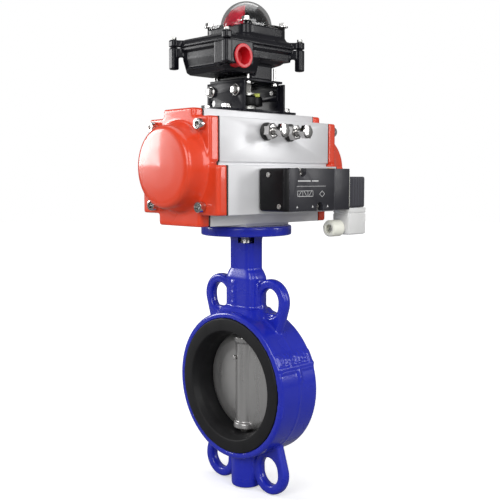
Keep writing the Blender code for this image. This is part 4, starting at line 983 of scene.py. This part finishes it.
def hex_screw(across, height, washer=0.0, shank=0.0, length=0.0):
    """A hexagon whose corners a cone has turned off, on an optional washer and shank."""
    corner = across / math.sqrt(3)
    head = rod("screw", corner, "Z", 0.0, height, steps=6)
    cone = [
        (0, -0.5), (corner + 1, -0.5), (corner + 1, height - 0.9), (across * 0.46, height), (0, height),
    ]
    turned_off = lathe("cone", cone, "Z", steps=48)
    combine(head, [turned_off], "INTERSECT")
    if washer:
        points = [(0, -0.2), (washer, -0.2), (washer, 1.0), (0, 1.0)]
        ring = lathe("washer", soften(points, 0.3, 2, False), "Z")
        gather(head, ring)
    if length:
        gather(head, rod("shank", shank, "Z", -length, 0.2, steps=24))
    return head


def hex_nut(across, height, hole):
    nut = hex_screw(across, height)
    return cut(nut, rod("hole", hole, "Z", -1, height + 1, steps=32))


# %% Screws of the end caps
def cap_screw_places():
    places = []
    for side in (-1, 1):
        for y in (-34, 34):
            for z in (180, 253):
                places.append(((side * 87.2, y, z), (side, 0, 0)))
    return places


CAP_SCREWS = [f"cap_screw_{side}_{n}" for side in ("left", "right") for n in (1, 2, 3, 4)]
scatter(
    "cap_screws", socket_screw(5.0, 6.4, 3.0, 26.0), cap_screw_places(), CHROME, "chrome_screw",
    *CAP_SCREWS, seed=3,
)

# %% Screws under the valve's flange
scatter(
    "flange_screws", socket_screw(6.5, 4.8, 4.0, 16.0),
    [((sx * FLANGE_SCREW, sy * FLANGE_SCREW, 154.8), (0, 0, -1)) for sx, sy in CORNERS],
    ZINC, "zinc_steel", *[f"flange_screw_{n}" for n in (1, 2, 3, 4)], seed=5,
)


# %% [markdown]
# ## Travel stops
# Two hexagon screws reach into the cylinder and set how far the disc may turn. Each seals with a
# ring against the body and is locked by a nut. A stop moves when it is adjusted, so each is a piece
# of its own body, while rings and nuts stay with the housing.

# %% Stops
def make_stops():
    wall = 43.1
    for number, side in ((1, -1), (2, 1)):
        node_name = f"stop_screw_{number}"
        low, high = span(node_name)
        x = side * STOP_X
        tip = high.y
        bolt = lathe(
            f"travel_stop_{number}",
            soften([(0, tip), (3.3, tip), (4.0, tip - 1), (4.0, low.y + 4), (0, low.y + 4)], 0.3, 2, False),
            "Y", (x, 0, STOP_Z), 40,
        )
        join(bolt, rod("head", 7.0, "Y", low.y + 0.9, low.y + 5.6, (x, STOP_Z), 6))
        face = [(0, low.y), (5.7, low.y), (6.3, low.y + 1.2), (0, low.y + 1.2)]
        join(bolt, lathe("face", face, "Y", (x, 0, STOP_Z), 48))
        keep(round_edges(bolt, 0.35, 2), node_name, CHROME, "chrome_screw", node_name)
        ring_node = f"stop_seal_{number}"
        ring = lathe(
            f"stop_ring_{number}",
            soften([(4.4, -wall), (8.4, -wall), (8.4, -wall - 2.8), (4.4, -wall - 2.8)], 0.8, 4),
            "Y", (x, 0, STOP_Z), 64,
        )
        keep(ring, HOUSING, SEAL_RUBBER, "seat_rubber", ring_node)
    places = [((side * STOP_X, -wall - 3.1, STOP_Z), (0, -1, 0)) for side in (-1, 1)]
    nuts = ("stop_nut_1", "stop_nut_2")
    scatter("stop_nuts", hex_nut(13.0, 7.0, 4.3), places, CHROME, "chrome_screw", *nuts, seed=8)


make_stops()

# %% [markdown]
# ## Solenoid valve
# An anodised block with its end cover, pilot block, coil and plug-in connector. The block and covers
# are machined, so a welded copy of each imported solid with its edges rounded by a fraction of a
# millimetre is right. The coil is moulded resin, with the slight ribs of its mould.

# %% Blocks
def rounded_copy(node_name, name, width, finish_, slot, body=HOUSING, angle=38):
    piece = round_edges(copy_of(node_name, name), width, 3, angle)
    return keep(piece, body, finish_, slot, node_name, angle=angle)


rounded_copy("solenoid_body", "pilot_valve_body", 0.6, BLACK_ANODISE, "black_coat")
rounded_copy("pilot_block", "pilot_end_block", 0.8, BLACK_ANODISE, "black_plastic")
valve_low = span("solenoid_body")[0]


def make_end_cover():
    low, high = span("solenoid_end_cover")
    centre = ((low.y + high.y) / 2, (low.z + high.z) / 2)
    half_y, half_z = (high.y - low.y) / 2, (high.z - low.z) / 2
    steps = ((2.4, low.x), (0.9, low.x + 0.6), (0, low.x + 2.4), (0, high.x))
    sections = [(rectangle(half_y - inset, half_z - inset, centre, 2.4), x) for inset, x in steps]
    cover = layers("valve_end_cover", sections, "X")
    keep(cover, HOUSING, BLACK_NYLON, "black_plastic", "solenoid_end_cover")
    scatter(
        "end_cover_screws", socket_screw(2.3, 0.9),
        [((low.x - 0.1, -67.0, 208.6), (-1, 0, 0)), ((low.x - 0.1, -80.4, 180.2), (-1, 0, 0))],
        ZINC, "zinc_steel", seed=2,
    )


make_end_cover()
scatter(
    "valve_mount_screws", socket_screw(4.2, 4.6, 2.5, 31.0),
    [((-12, -77.4, 211), (0, -1, 0)), ((12, -77.4, 179), (0, -1, 0))],
    CHROME, "chrome_screw", "namur_screw_1", "namur_screw_2", seed=4,
)


# %% Coil, its nut and the connector
COIL_Y = -71.5
KNOB_Z = 194.0
CABLE_AXIS = (-74, 157)
FLUTES = 24


def make_coil():
    low = span("coil")[0]
    body_end = 80.0
    centre = (COIL_Y, 192.0)
    stations = [(low.x, 1.0), (low.x + 0.8, 0.0)]
    for rib in range(5):
        x = low.x + 4.0 + rib * 4.0
        stations += [(x, 0.0), (x + 0.5, 0.35), (x + 1.5, 0.35), (x + 2.0, 0.0)]
    stations += [(body_end - 1.0, 0.0), (body_end, 1.2)]
    coil = layers(
        "coil_moulding", [(rectangle(14.5 - i, 15.0 - i, centre, 2.4), x) for x, i in stations], "X",
    )
    nut_low, nut_high = span("coil_nut")
    keep(coil, HOUSING, COIL_RESIN, "coil_resin", "coil")
    flutes = []
    for i in range(120):
        angle = math.tau * i / 120
        radius = 7.75 + 0.25 * math.cos(angle * FLUTES)
        flutes.append((COIL_Y + radius * math.cos(angle), KNOB_Z + radius * math.sin(angle)))
    inner = [(COIL_Y + (y - COIL_Y) * 0.86, KNOB_Z + (z - KNOB_Z) * 0.86) for y, z in flutes]
    knob = layers("coil_knob", [(flutes, nut_low.x), (flutes, nut_high.x - 1.4), (inner, nut_high.x)], "X")
    core_profile = soften([(0, 79), (3.8, 79), (3.8, 85.9), (0, 85.9)], 0.6, 3, False)
    core = lathe("core", core_profile, "X", (0, COIL_Y, KNOB_Z), 32)
    keep(join(knob, core), HOUSING, COIL_RESIN, "coil_resin", "coil_nut")


make_coil()


def make_connector():
    low, high = span("connector")
    centre = (69.6, -75.0)
    sections = [
        (rectangle(12.6, 9.4, centre, 2.4), low.z), (rectangle(13.6, 10.4, centre, 2.4), low.z + 1.2),
        (rectangle(13.6, 10.4, centre, 2.4), 170.2), (rectangle(12.9, 9.8, centre, 2.4), 170.8),
        (rectangle(12.9, 9.8, centre, 2.4), 171.6), (rectangle(13.6, 10.4, centre, 2.4), 172.2),
        (rectangle(13.6, 10.4, centre, 2.4), high.z),
    ]
    shell = layers("connector_shell", sections, "Z")
    join(shell, rod("collar", 6.6, "X", 46, 57, CABLE_AXIS, 48))
    cut(shell, rod("entry", 4.6, "X", 40, 64, CABLE_AXIS, 40))
    keep(round_edges(shell, 0.4, 2), HOUSING, MILKY_PLASTIC, "clear_connector", "connector")
    neck = block("connector_latch", (57.0, -85.0, 165.5), (60.5, -79.0, 176.2))
    keep(round_edges(neck, 0.6, 3), HOUSING, MILKY_PLASTIC, "clear_connector")


make_connector()


def make_gland():
    low, high = span("cable_gland")
    points = [
        (4.2, low.x), (6.6, low.x), (8.0, low.x + 1.6), (8.2, high.x),
        (6.9, high.x), (6.9, 45.6), (4.2, 45.6),
    ]
    nut = lathe("gland_nut", soften(points, 0.5, 3), "X", (0, *CABLE_AXIS), 72)
    keep(nut, HOUSING, GLAND_NYLON, "gland_nylon", "cable_gland")


make_gland()


# %% Override button and the thin gasket beside the coil
def make_small_parts():
    low, high = span("override_button")
    centre = middle("override_button")
    button = lathe(
        "override_pin", soften([(0, low.z), (2.9, low.z), (2.9, high.z), (0, high.z)], 0.35, 3, False), "Z",
        (centre.x, centre.y, 0), 40,
    )
    cut(button, block("slot", (40, centre.y - 0.45, high.z - 0.9), (48, centre.y + 0.45, high.z + 1)))
    keep(button, "override_button", BRONZE, "bronze", "override_button")
    pilot_high = span("pilot_block")[1]
    outline = rectangle(14.2, 18.0, (COIL_Y, 194.6), 1.5)
    gasket = push("coil_gasket", outline, "X", pilot_high.x - 0.2, pilot_high.x + 0.6)
    keep(gasket, HOUSING, GLAND_NYLON, "gland_nylon")


make_small_parts()


# %% Printed port signs: plain lines, boxes and triangles, with no lettering
def flat_mark(name, points):
    """A thin painted shape on the valve's front face."""
    return push(name, points, "Y", valve_low.y - 0.05, valve_low.y + 0.3)


def stroke(x0, z0, x1, z1, width=0.45):
    along = Vector((x1 - x0, z1 - z0)).normalized() * width / 2
    side = Vector((-along.y, along.x))
    ends = [Vector((x0, z0)) - along, Vector((x1, z1)) + along]
    points = [ends[0] + side, ends[0] - side, ends[1] - side, ends[1] + side]
    return [tuple(p) for p in points]


def make_print():
    shapes = [stroke(-20, 198.2, 20, 198.2, 0.35)]
    for left in (-19, -12, -5):
        shapes += [
            stroke(left, 189, left + 7, 189), stroke(left, 194, left + 7, 194), stroke(left, 189, left, 194),
        ]
    shapes.append(stroke(2, 189, 2, 194))
    shapes += [stroke(-17.5, 189.5, -14, 193.5), stroke(-10, 193.5, -7, 189.5), stroke(-3.5, 189.5, 0, 193.5)]
    shapes += [stroke(-18, 203.0, -2, 203.0, 1.1), stroke(1, 203.0, 9, 203.0, 1.1)]
    for x in (-19.5, 1.8, 23.0):
        shapes.append([(x - 1.2, 178.6), (x + 1.2, 178.6), (x, 180.8)])
    marks = [flat_mark("port_signs", shape) for shape in shapes]
    diamond = [(15.0, 193.8), (18.6, 191.0), (15.0, 188.2), (11.4, 191.0)]
    for i in range(4):
        x0, z0 = diamond[i]
        x1, z1 = diamond[(i + 1) % 4]
        marks.append(flat_mark("sign", stroke(x0, z0, x1, z1)))
    keep(gather(marks[0], *marks[1:]), HOUSING, PRINT, "clear_connector")


make_print()

# %% [markdown]
# ## Bracket
# Two folded sheets, one inside the other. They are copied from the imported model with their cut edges
# rounded, and the fasteners that hold them are scattered on: side bolts with washers, foot bolts
# into the actuator, and long thin screws that reach up into the box.

# %% Sheets and their bolts
rounded_copy("lower_bracket", "bracket_lower_sheet", 0.55, BRACKET_PAINT, "black_coat")
rounded_copy("upper_bracket", "bracket_upper_sheet", 0.55, BRACKET_PAINT, "black_coat")


def bracket_bolts():
    side_places = [((s * 28.1, y, 289), (s, 0, 0)) for s in (-1, 1) for y in (-15, 20)]
    side_bolt = hex_screw(8.0, 3.8, 5.6, 2.4, 8.0)
    scatter("bracket_side_bolts", side_bolt, side_places, CHROME, "chrome_screw", seed=6)
    foot_places = [((s * 40.0, y, 271.4), (0, 0, 1)) for s in (-1, 1) for y in (-15, 15)]
    foot_bolt = hex_screw(8.0, 3.8, 5.0, 2.4, 8.0)
    scatter("bracket_foot_bolts", foot_bolt, foot_places, CHROME, "chrome_screw", seed=7)
    box_places = [((x, y, 297.2), (0, 0, -1)) for x in (-20, 16) for y in (-23.0, 23.0)]
    scatter("box_screws", socket_screw(2.8, 3.0, 1.3, 14.5), box_places, CHROME, "chrome_screw", seed=9)


bracket_bolts()


# %% [markdown]
# ## Position indicator and shafts
# The pinion's top carries a black cap with a yellow-green pointer, and the switch shaft rises from
# it into the box. All of it turns with the disc.

# %% Indicator, pinion top and switch shaft
def make_indicator():
    low, high = span("position_indicator")
    points = [(10.4, low.z), (16, low.z), (16, high.z - 3.6), (14.4, high.z - 1.6), (10.4, high.z - 1.6)]
    cap = lathe("indicator_cap", soften(points, 0.7, 3), "Z", steps=72)
    keep(cap, DRIVE, BLACK_NYLON, "black_plastic", "position_indicator")
    arrow = [(-2.2, -11.2), (2.2, -11.2), (2.9, -14.5), (0, -18.8), (-2.9, -14.5)]
    front = push("indicator_pointer", arrow, "Z", high.z - 3.4, high.z)
    back = push("back", rectangle(2.2, 1.6, (0, 13.2), 0.6), "Z", high.z - 3.4, high.z)
    keep(round_edges(gather(front, back), 0.4, 2), DRIVE, POINTER_PLASTIC, "indicator_lime")


make_indicator()


def make_switch_shaft():
    low, high = span("switch_shaft")
    profile = [
        (0, 288.3), (6, 288.3), (6, 316.5), (13, 316.5), (13, 320.5), (8, 321), (8, 322.5), (13, 323),
        (13, 327.5), (5, 328), (5, 344), (3, 344.4), (3, high.z), (0, high.z),
    ]
    shaft = lathe("indicator_shaft", soften(profile, 0.3, 2, False), "Z", steps=64)
    join(shaft, block("tongue", (-5.5, -1.8, low.z), (5.5, 1.8, 290)))
    keep(shaft, DRIVE, SHAFT_STEEL, "zinc_steel", "switch_shaft")


make_switch_shaft()

# %% [markdown]
# ## Switch box
# A die-cast box with a stepped cover, corner ears for its bolts, a square boss for the conduit entry
# and a tapered underside. Stacked outlines give the steps, and melting them softens each one as
# paint over a casting does. The inside is then cut out, so the lid could really come off.

# %% Box body
BOX_X = middle("switch_box_body").x
EAR_X = 48.5
EAR_Y = 37.4
SPLIT = box_high.z


def box_corners(low, high, web_low):
    """Four bolt posts with rounded ends, and the webs that tie them to the box."""
    pieces = []
    for sx, sy in CORNERS:
        centre = (BOX_X + sx * EAR_X, sy * EAR_Y)
        full, less = rectangle(3.7, 3.7, centre, 1.4), rectangle(3.0, 3.0, centre, 1.4)
        stations = [(less, low), (full, low + 0.8), (full, high - 0.7), (less, high)]
        pieces.append(layers("post", stations, "Z"))
        root = (BOX_X + sx * 40, sy * 29)
        pieces.append(push("web", belt(centre, 2.7, root, 2.4, 6), "Z", web_low, high - 0.4))
    return pieces


def box_wall(inset):
    return rectangle(45 - inset, 34 - inset, (BOX_X, 0), 4)


def spanning(low_x, high_x, half_y, radius=4):
    return rectangle((high_x - low_x) / 2, half_y, ((low_x + high_x) / 2, 0), radius)


STEP_X = -12.0
PLUG = middle("conduit_plug")


def make_box_body():
    left, right = BOX_X - 45, BOX_X + 45
    walls = layers(
        "switch_box_casting",
        [(box_wall(1.8), 318), (box_wall(1.8), 325.6), (box_wall(0.0), 326.4), (box_wall(0.0), SPLIT)], "Z",
    )
    deep = layers(
        "deep", [(spanning(left + 5, STEP_X, 26), 303.6), (spanning(left + 3.4, STEP_X, 29), 306),
                 (spanning(left + 1.6, STEP_X, 32.4), 319)], "Z",
    )
    shallow = layers(
        "shallow", [(spanning(STEP_X - 4, 16, 22, 7), 312), (spanning(STEP_X - 4, 24, 28, 9), 315),
                    (spanning(STEP_X - 4, right - 1.6, 32.4, 12), 320)], "Z",
    )
    panel_back = block("panel_back", (left + 0.4, -25, 308), (left + 4, 25, 309.6))
    pad = push("pad", rectangle(15.5, 24, (-2.5, 0), 3), "Z", box_low.z, 313)
    boss = push("boss", rectangle(15.4, 10.6, (-45.4, 319.5), 1.2), "Y", -41.0, -20)
    parts = [deep, shallow, panel_back, pad, boss, *box_corners(309.2, SPLIT, 321)]
    body = cast(walls, *parts, voxel=0.7, relax=2)
    room = layers(
        "room", [(spanning(left + 7, STEP_X - 3, 23), 307), (spanning(left + 4, STEP_X - 3, 30), 320),
                 (spanning(left + 4, STEP_X - 3, 30), SPLIT + 1)], "Z",
    )
    side_room = layers(
        "side_room", [(spanning(STEP_X - 6, 14, 20), 315), (spanning(STEP_X - 6, right - 5, 29), 321),
                      (spanning(STEP_X - 6, right - 5, 29), SPLIT + 1)], "Z",
    )
    shaft_way = rod("shaft_way", 6.6, "Z", 290, 317)
    cut(body, room, side_room, shaft_way, rod("entry", 9.6, "Y", -60, -25, (PLUG.x, PLUG.z), 64))
    keep(body, HOUSING, BLACK_PAINT, "black_coat", "switch_box_body", angle=40)


make_box_body()


# %% Cover with its turret
def make_box_cover():
    low, top, turret_top = cover_low.z, 337.4, cover_high.z
    steps = [(box_wall(-0.6), low), (box_wall(-0.6), 332.6), (box_wall(0.5), 333.1), (box_wall(0.5), 335.2),
             (box_wall(1.6), 335.8), (box_wall(2.2), top - 0.6), (box_wall(3.0), top)]
    cover = layers("switch_box_lid", steps, "Z")
    wide, narrow = (30.6, 30.6, 9), (29, 29, 9)
    turret_levels = [(*wide, low + 2), (*wide, 337.6), (*narrow, 341), (*narrow, turret_top)]
    turret = stack("turret", turret_levels)
    lid = cast(cover, turret, *box_corners(low, top, low + 0.2), voxel=0.7, relax=2)
    room = push("room", rectangle(41.5, 30.5, (BOX_X, 0), 4), "Z", low - 1, top - 3)
    cut(lid, room, rod("turret_room", 23, "Z", low - 1, turret_top + 1, steps=96))
    keep(lid, HOUSING, BLACK_PAINT, "black_coat", "switch_box_cover", angle=40)
    bolts = [((BOX_X + sx * EAR_X, sy * EAR_Y, top + 0.1), (0, 0, 1)) for sx, sy in CORNERS]
    scatter("cover_bolts", socket_screw(2.6, 2.6), bolts, ZINC, "zinc_steel", seed=11)


make_box_cover()


# %% Beacon: dome, drum and their screws
def arc(radius, centre_z, steps=14):
    return [
        (radius * math.cos(math.pi / 2 * i / steps), centre_z + radius * math.sin(math.pi / 2 * i / steps))
        for i in range(steps)
    ] + [(0, centre_z + radius)]


DOME_SCREW = 25.4


def make_beacon():
    low, high = span("beacon_dome")
    base = high.z - 25.0
    plate = stack("dome_shell", [(29, 29, 9, low.z), (29, 29, 9, base - 0.4), (28.5, 28.5, 9, base + 0.1)])
    join(plate, lathe("shell", [(0, low.z), (25, low.z)] + arc(25, base), "Z"))
    cut(plate, lathe("room", [(0, low.z - 1), (23.2, low.z - 1)] + arc(23.2, base), "Z"))
    keep(plate, HOUSING, DOME_PLASTIC, "clear_dome", "beacon_dome")
    drum_low, drum_high = span("beacon_rotor")
    radius = drum_high.y
    centre = drum_high.z - radius
    drum = lathe("beacon_drum", [(0, drum_low.z), (radius, drum_low.z)] + arc(radius, centre), "Z")
    inner = radius - 2
    cut(drum, lathe("room", [(0, 340), (inner, 340), (inner, centre), (9, 366), (0, 366)], "Z"))
    keep(drum, DRIVE, DRUM, "beacon_red", "beacon_rotor")
    places = [((sx * DOME_SCREW, sy * DOME_SCREW, base + 0.2), (0, 0, 1)) for sx, sy in CORNERS]
    scatter("dome_screws", hex_screw(7.0, 4.2, 4.9), places, CHROME, "chrome_screw", seed=12)


make_beacon()


# %% Conduit plug
def make_plug():
    low, high = span("conduit_plug")
    rim = low.y
    seat = rim + 1.5
    points = [
        (0, -31), (7.6, -31), (7.6, rim), (10.6, rim), (11, rim + 0.5), (11, seat),
        (9.2, seat), (9.2, high.y), (0, high.y),
    ]
    profile = soften(points, 0.5, 4, False)
    plug = lathe("entry_plug", profile, "Y", (PLUG.x, 0, PLUG.z), 96)
    keep(plug, HOUSING, PLUG_PLASTIC, "plug_red", "conduit_plug")


make_plug()

# %% [markdown]
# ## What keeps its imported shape
# Inner pieces are hardly seen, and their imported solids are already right. They get the same careful
# finishes, through their material slots.

# %% Finishes for the pieces inside
INNER = {
    "upper_bushing": BRONZE, "lower_bushing": BRONZE, "stem_seal": SEAL_RUBBER,
    "cap_gasket_left": SEAL_RUBBER, "cap_gasket_right": SEAL_RUBBER,
    "piston_left": ALUMINIUM, "piston_right": ALUMINIUM,
    "piston_seal_left": SEAL_RUBBER, "piston_seal_right": SEAL_RUBBER,
    "pinion": ZINC, "stop_cam": ZINC, "lower_bearing": BLACK_NYLON, "upper_bearing": BLACK_NYLON,
    "thrust_washer": BLACK_NYLON, "spool": ALUMINIUM,
}
for name, inner_finish in INNER.items():
    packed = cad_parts[name]
    for index in range(len(packed.data.materials)):
        packed.material_slots[index].material = inner_finish
    if not packed.data.materials:
        packed.data.materials.append(inner_finish)
print(len(INNER), "inner pieces dressed")

# %% [markdown]
# ## Floor, light and camera
# A plain pale floor and broad soft lights, as in a product studio. Two upright panels give the long
# clear reflections on the paint, one to the front right and one behind on the left, and a wide panel
# overhead fills the rest.

# %% Studio
FLOOR_RADIUS = 5000
LENS_MM = 57.25
SENSOR_MM = 36
EYE_POINT = (-0.553, -0.569, 0.206)
LOOKING = (0.6974, 0.7109, -0.0906)
UPPER_HALF = (-0.1, 0, 0.215)
ROOM_LEVEL = 0.22


def make_floor():
    floor_z = cad_low.z / MM - 0.4
    under = floor_z - 10
    disc = [(0, floor_z), (FLOOR_RADIUS, floor_z), (FLOOR_RADIUS, under), (0, under)]
    floor = lathe("floor", disc, "Z", steps=64)
    paper = bpy.data.materials.new("Pale floor")
    paper.use_nodes = True
    tree = paper.node_tree
    shader = tree.nodes["Principled BSDF"]
    shader.inputs["Roughness"].default_value = 0.8
    shader.inputs["Emission Color"].default_value = (1, 1, 1, 1)
    away = node(tree, "ShaderNodeVectorMath", {0: own_place(tree)}, operation="LENGTH")
    seen = node(tree, "ShaderNodeLightPath").outputs["Is Camera Ray"]
    glow = remap(tree, away.outputs["Value"], 0.25, 1.6, 0.45, 1.0)
    tree.links.new(reckon(tree, "MULTIPLY", glow, seen), shader.inputs["Emission Strength"])
    tree.links.new(mix(tree, seen, (0.3, 0.3, 0.3, 1), (0.8, 0.8, 0.8, 1)), shader.inputs["Base Color"])
    floor.data.materials.append(paper)


def panel(name, place, size, energy, target=(0, 0, 0.12)):
    light = bpy.data.lights.new(name, "AREA")
    light.shape = "RECTANGLE"
    light.size, light.size_y = size
    light.energy = energy
    obj = bpy.data.objects.new(name, light)
    obj.location = place
    obj.rotation_mode = "QUATERNION"
    obj.rotation_quaternion = (Vector(target) - obj.location).to_track_quat("-Z", "Y")
    bpy.context.scene.collection.objects.link(obj)


def make_camera():
    lens = bpy.data.cameras.new("Camera")
    lens.lens = LENS_MM
    lens.sensor_width = SENSOR_MM
    camera = bpy.data.objects.new("Camera", lens)
    camera.location = EYE_POINT
    camera.rotation_mode = "QUATERNION"
    camera.rotation_quaternion = Vector(LOOKING).to_track_quat("-Z", "Y")
    bpy.context.scene.collection.objects.link(camera)
    bpy.context.scene.camera = camera


make_floor()
panel("Left key", (-1.5, -0.55, 0.75), (0.9, 0.9), 14)
panel("Front key", (-0.3, -1.6, 0.8), (0.9, 0.9), 13)
panel("Right strip", (0.9, -1.13, 0.5), (0.24, 0.6), 4, UPPER_HALF)
panel("Back window", (-0.834, 1.312, 0.49), (0.47, 0.5), 11, UPPER_HALF)
panel("Top panel", (0.2, 0.3, 1.6), (1.4, 1.4), 8)
make_camera()


def make_world():
    """Pure white where the camera sees it, and a dim room everywhere else."""
    world = bpy.data.worlds.new("Studio")
    world.use_nodes = True
    tree = world.node_tree
    path = node(tree, "ShaderNodeLightPath")
    level = remap(tree, path.outputs["Is Camera Ray"], 0.0, 1.0, ROOM_LEVEL, 1.0)
    tree.links.new(level, tree.nodes["Background"].inputs["Strength"])
    tree.nodes["Background"].inputs["Color"].default_value = (1, 1, 1, 1)
    bpy.context.scene.world = world


make_world()
bpy.context.scene.view_settings.view_transform = "Standard"
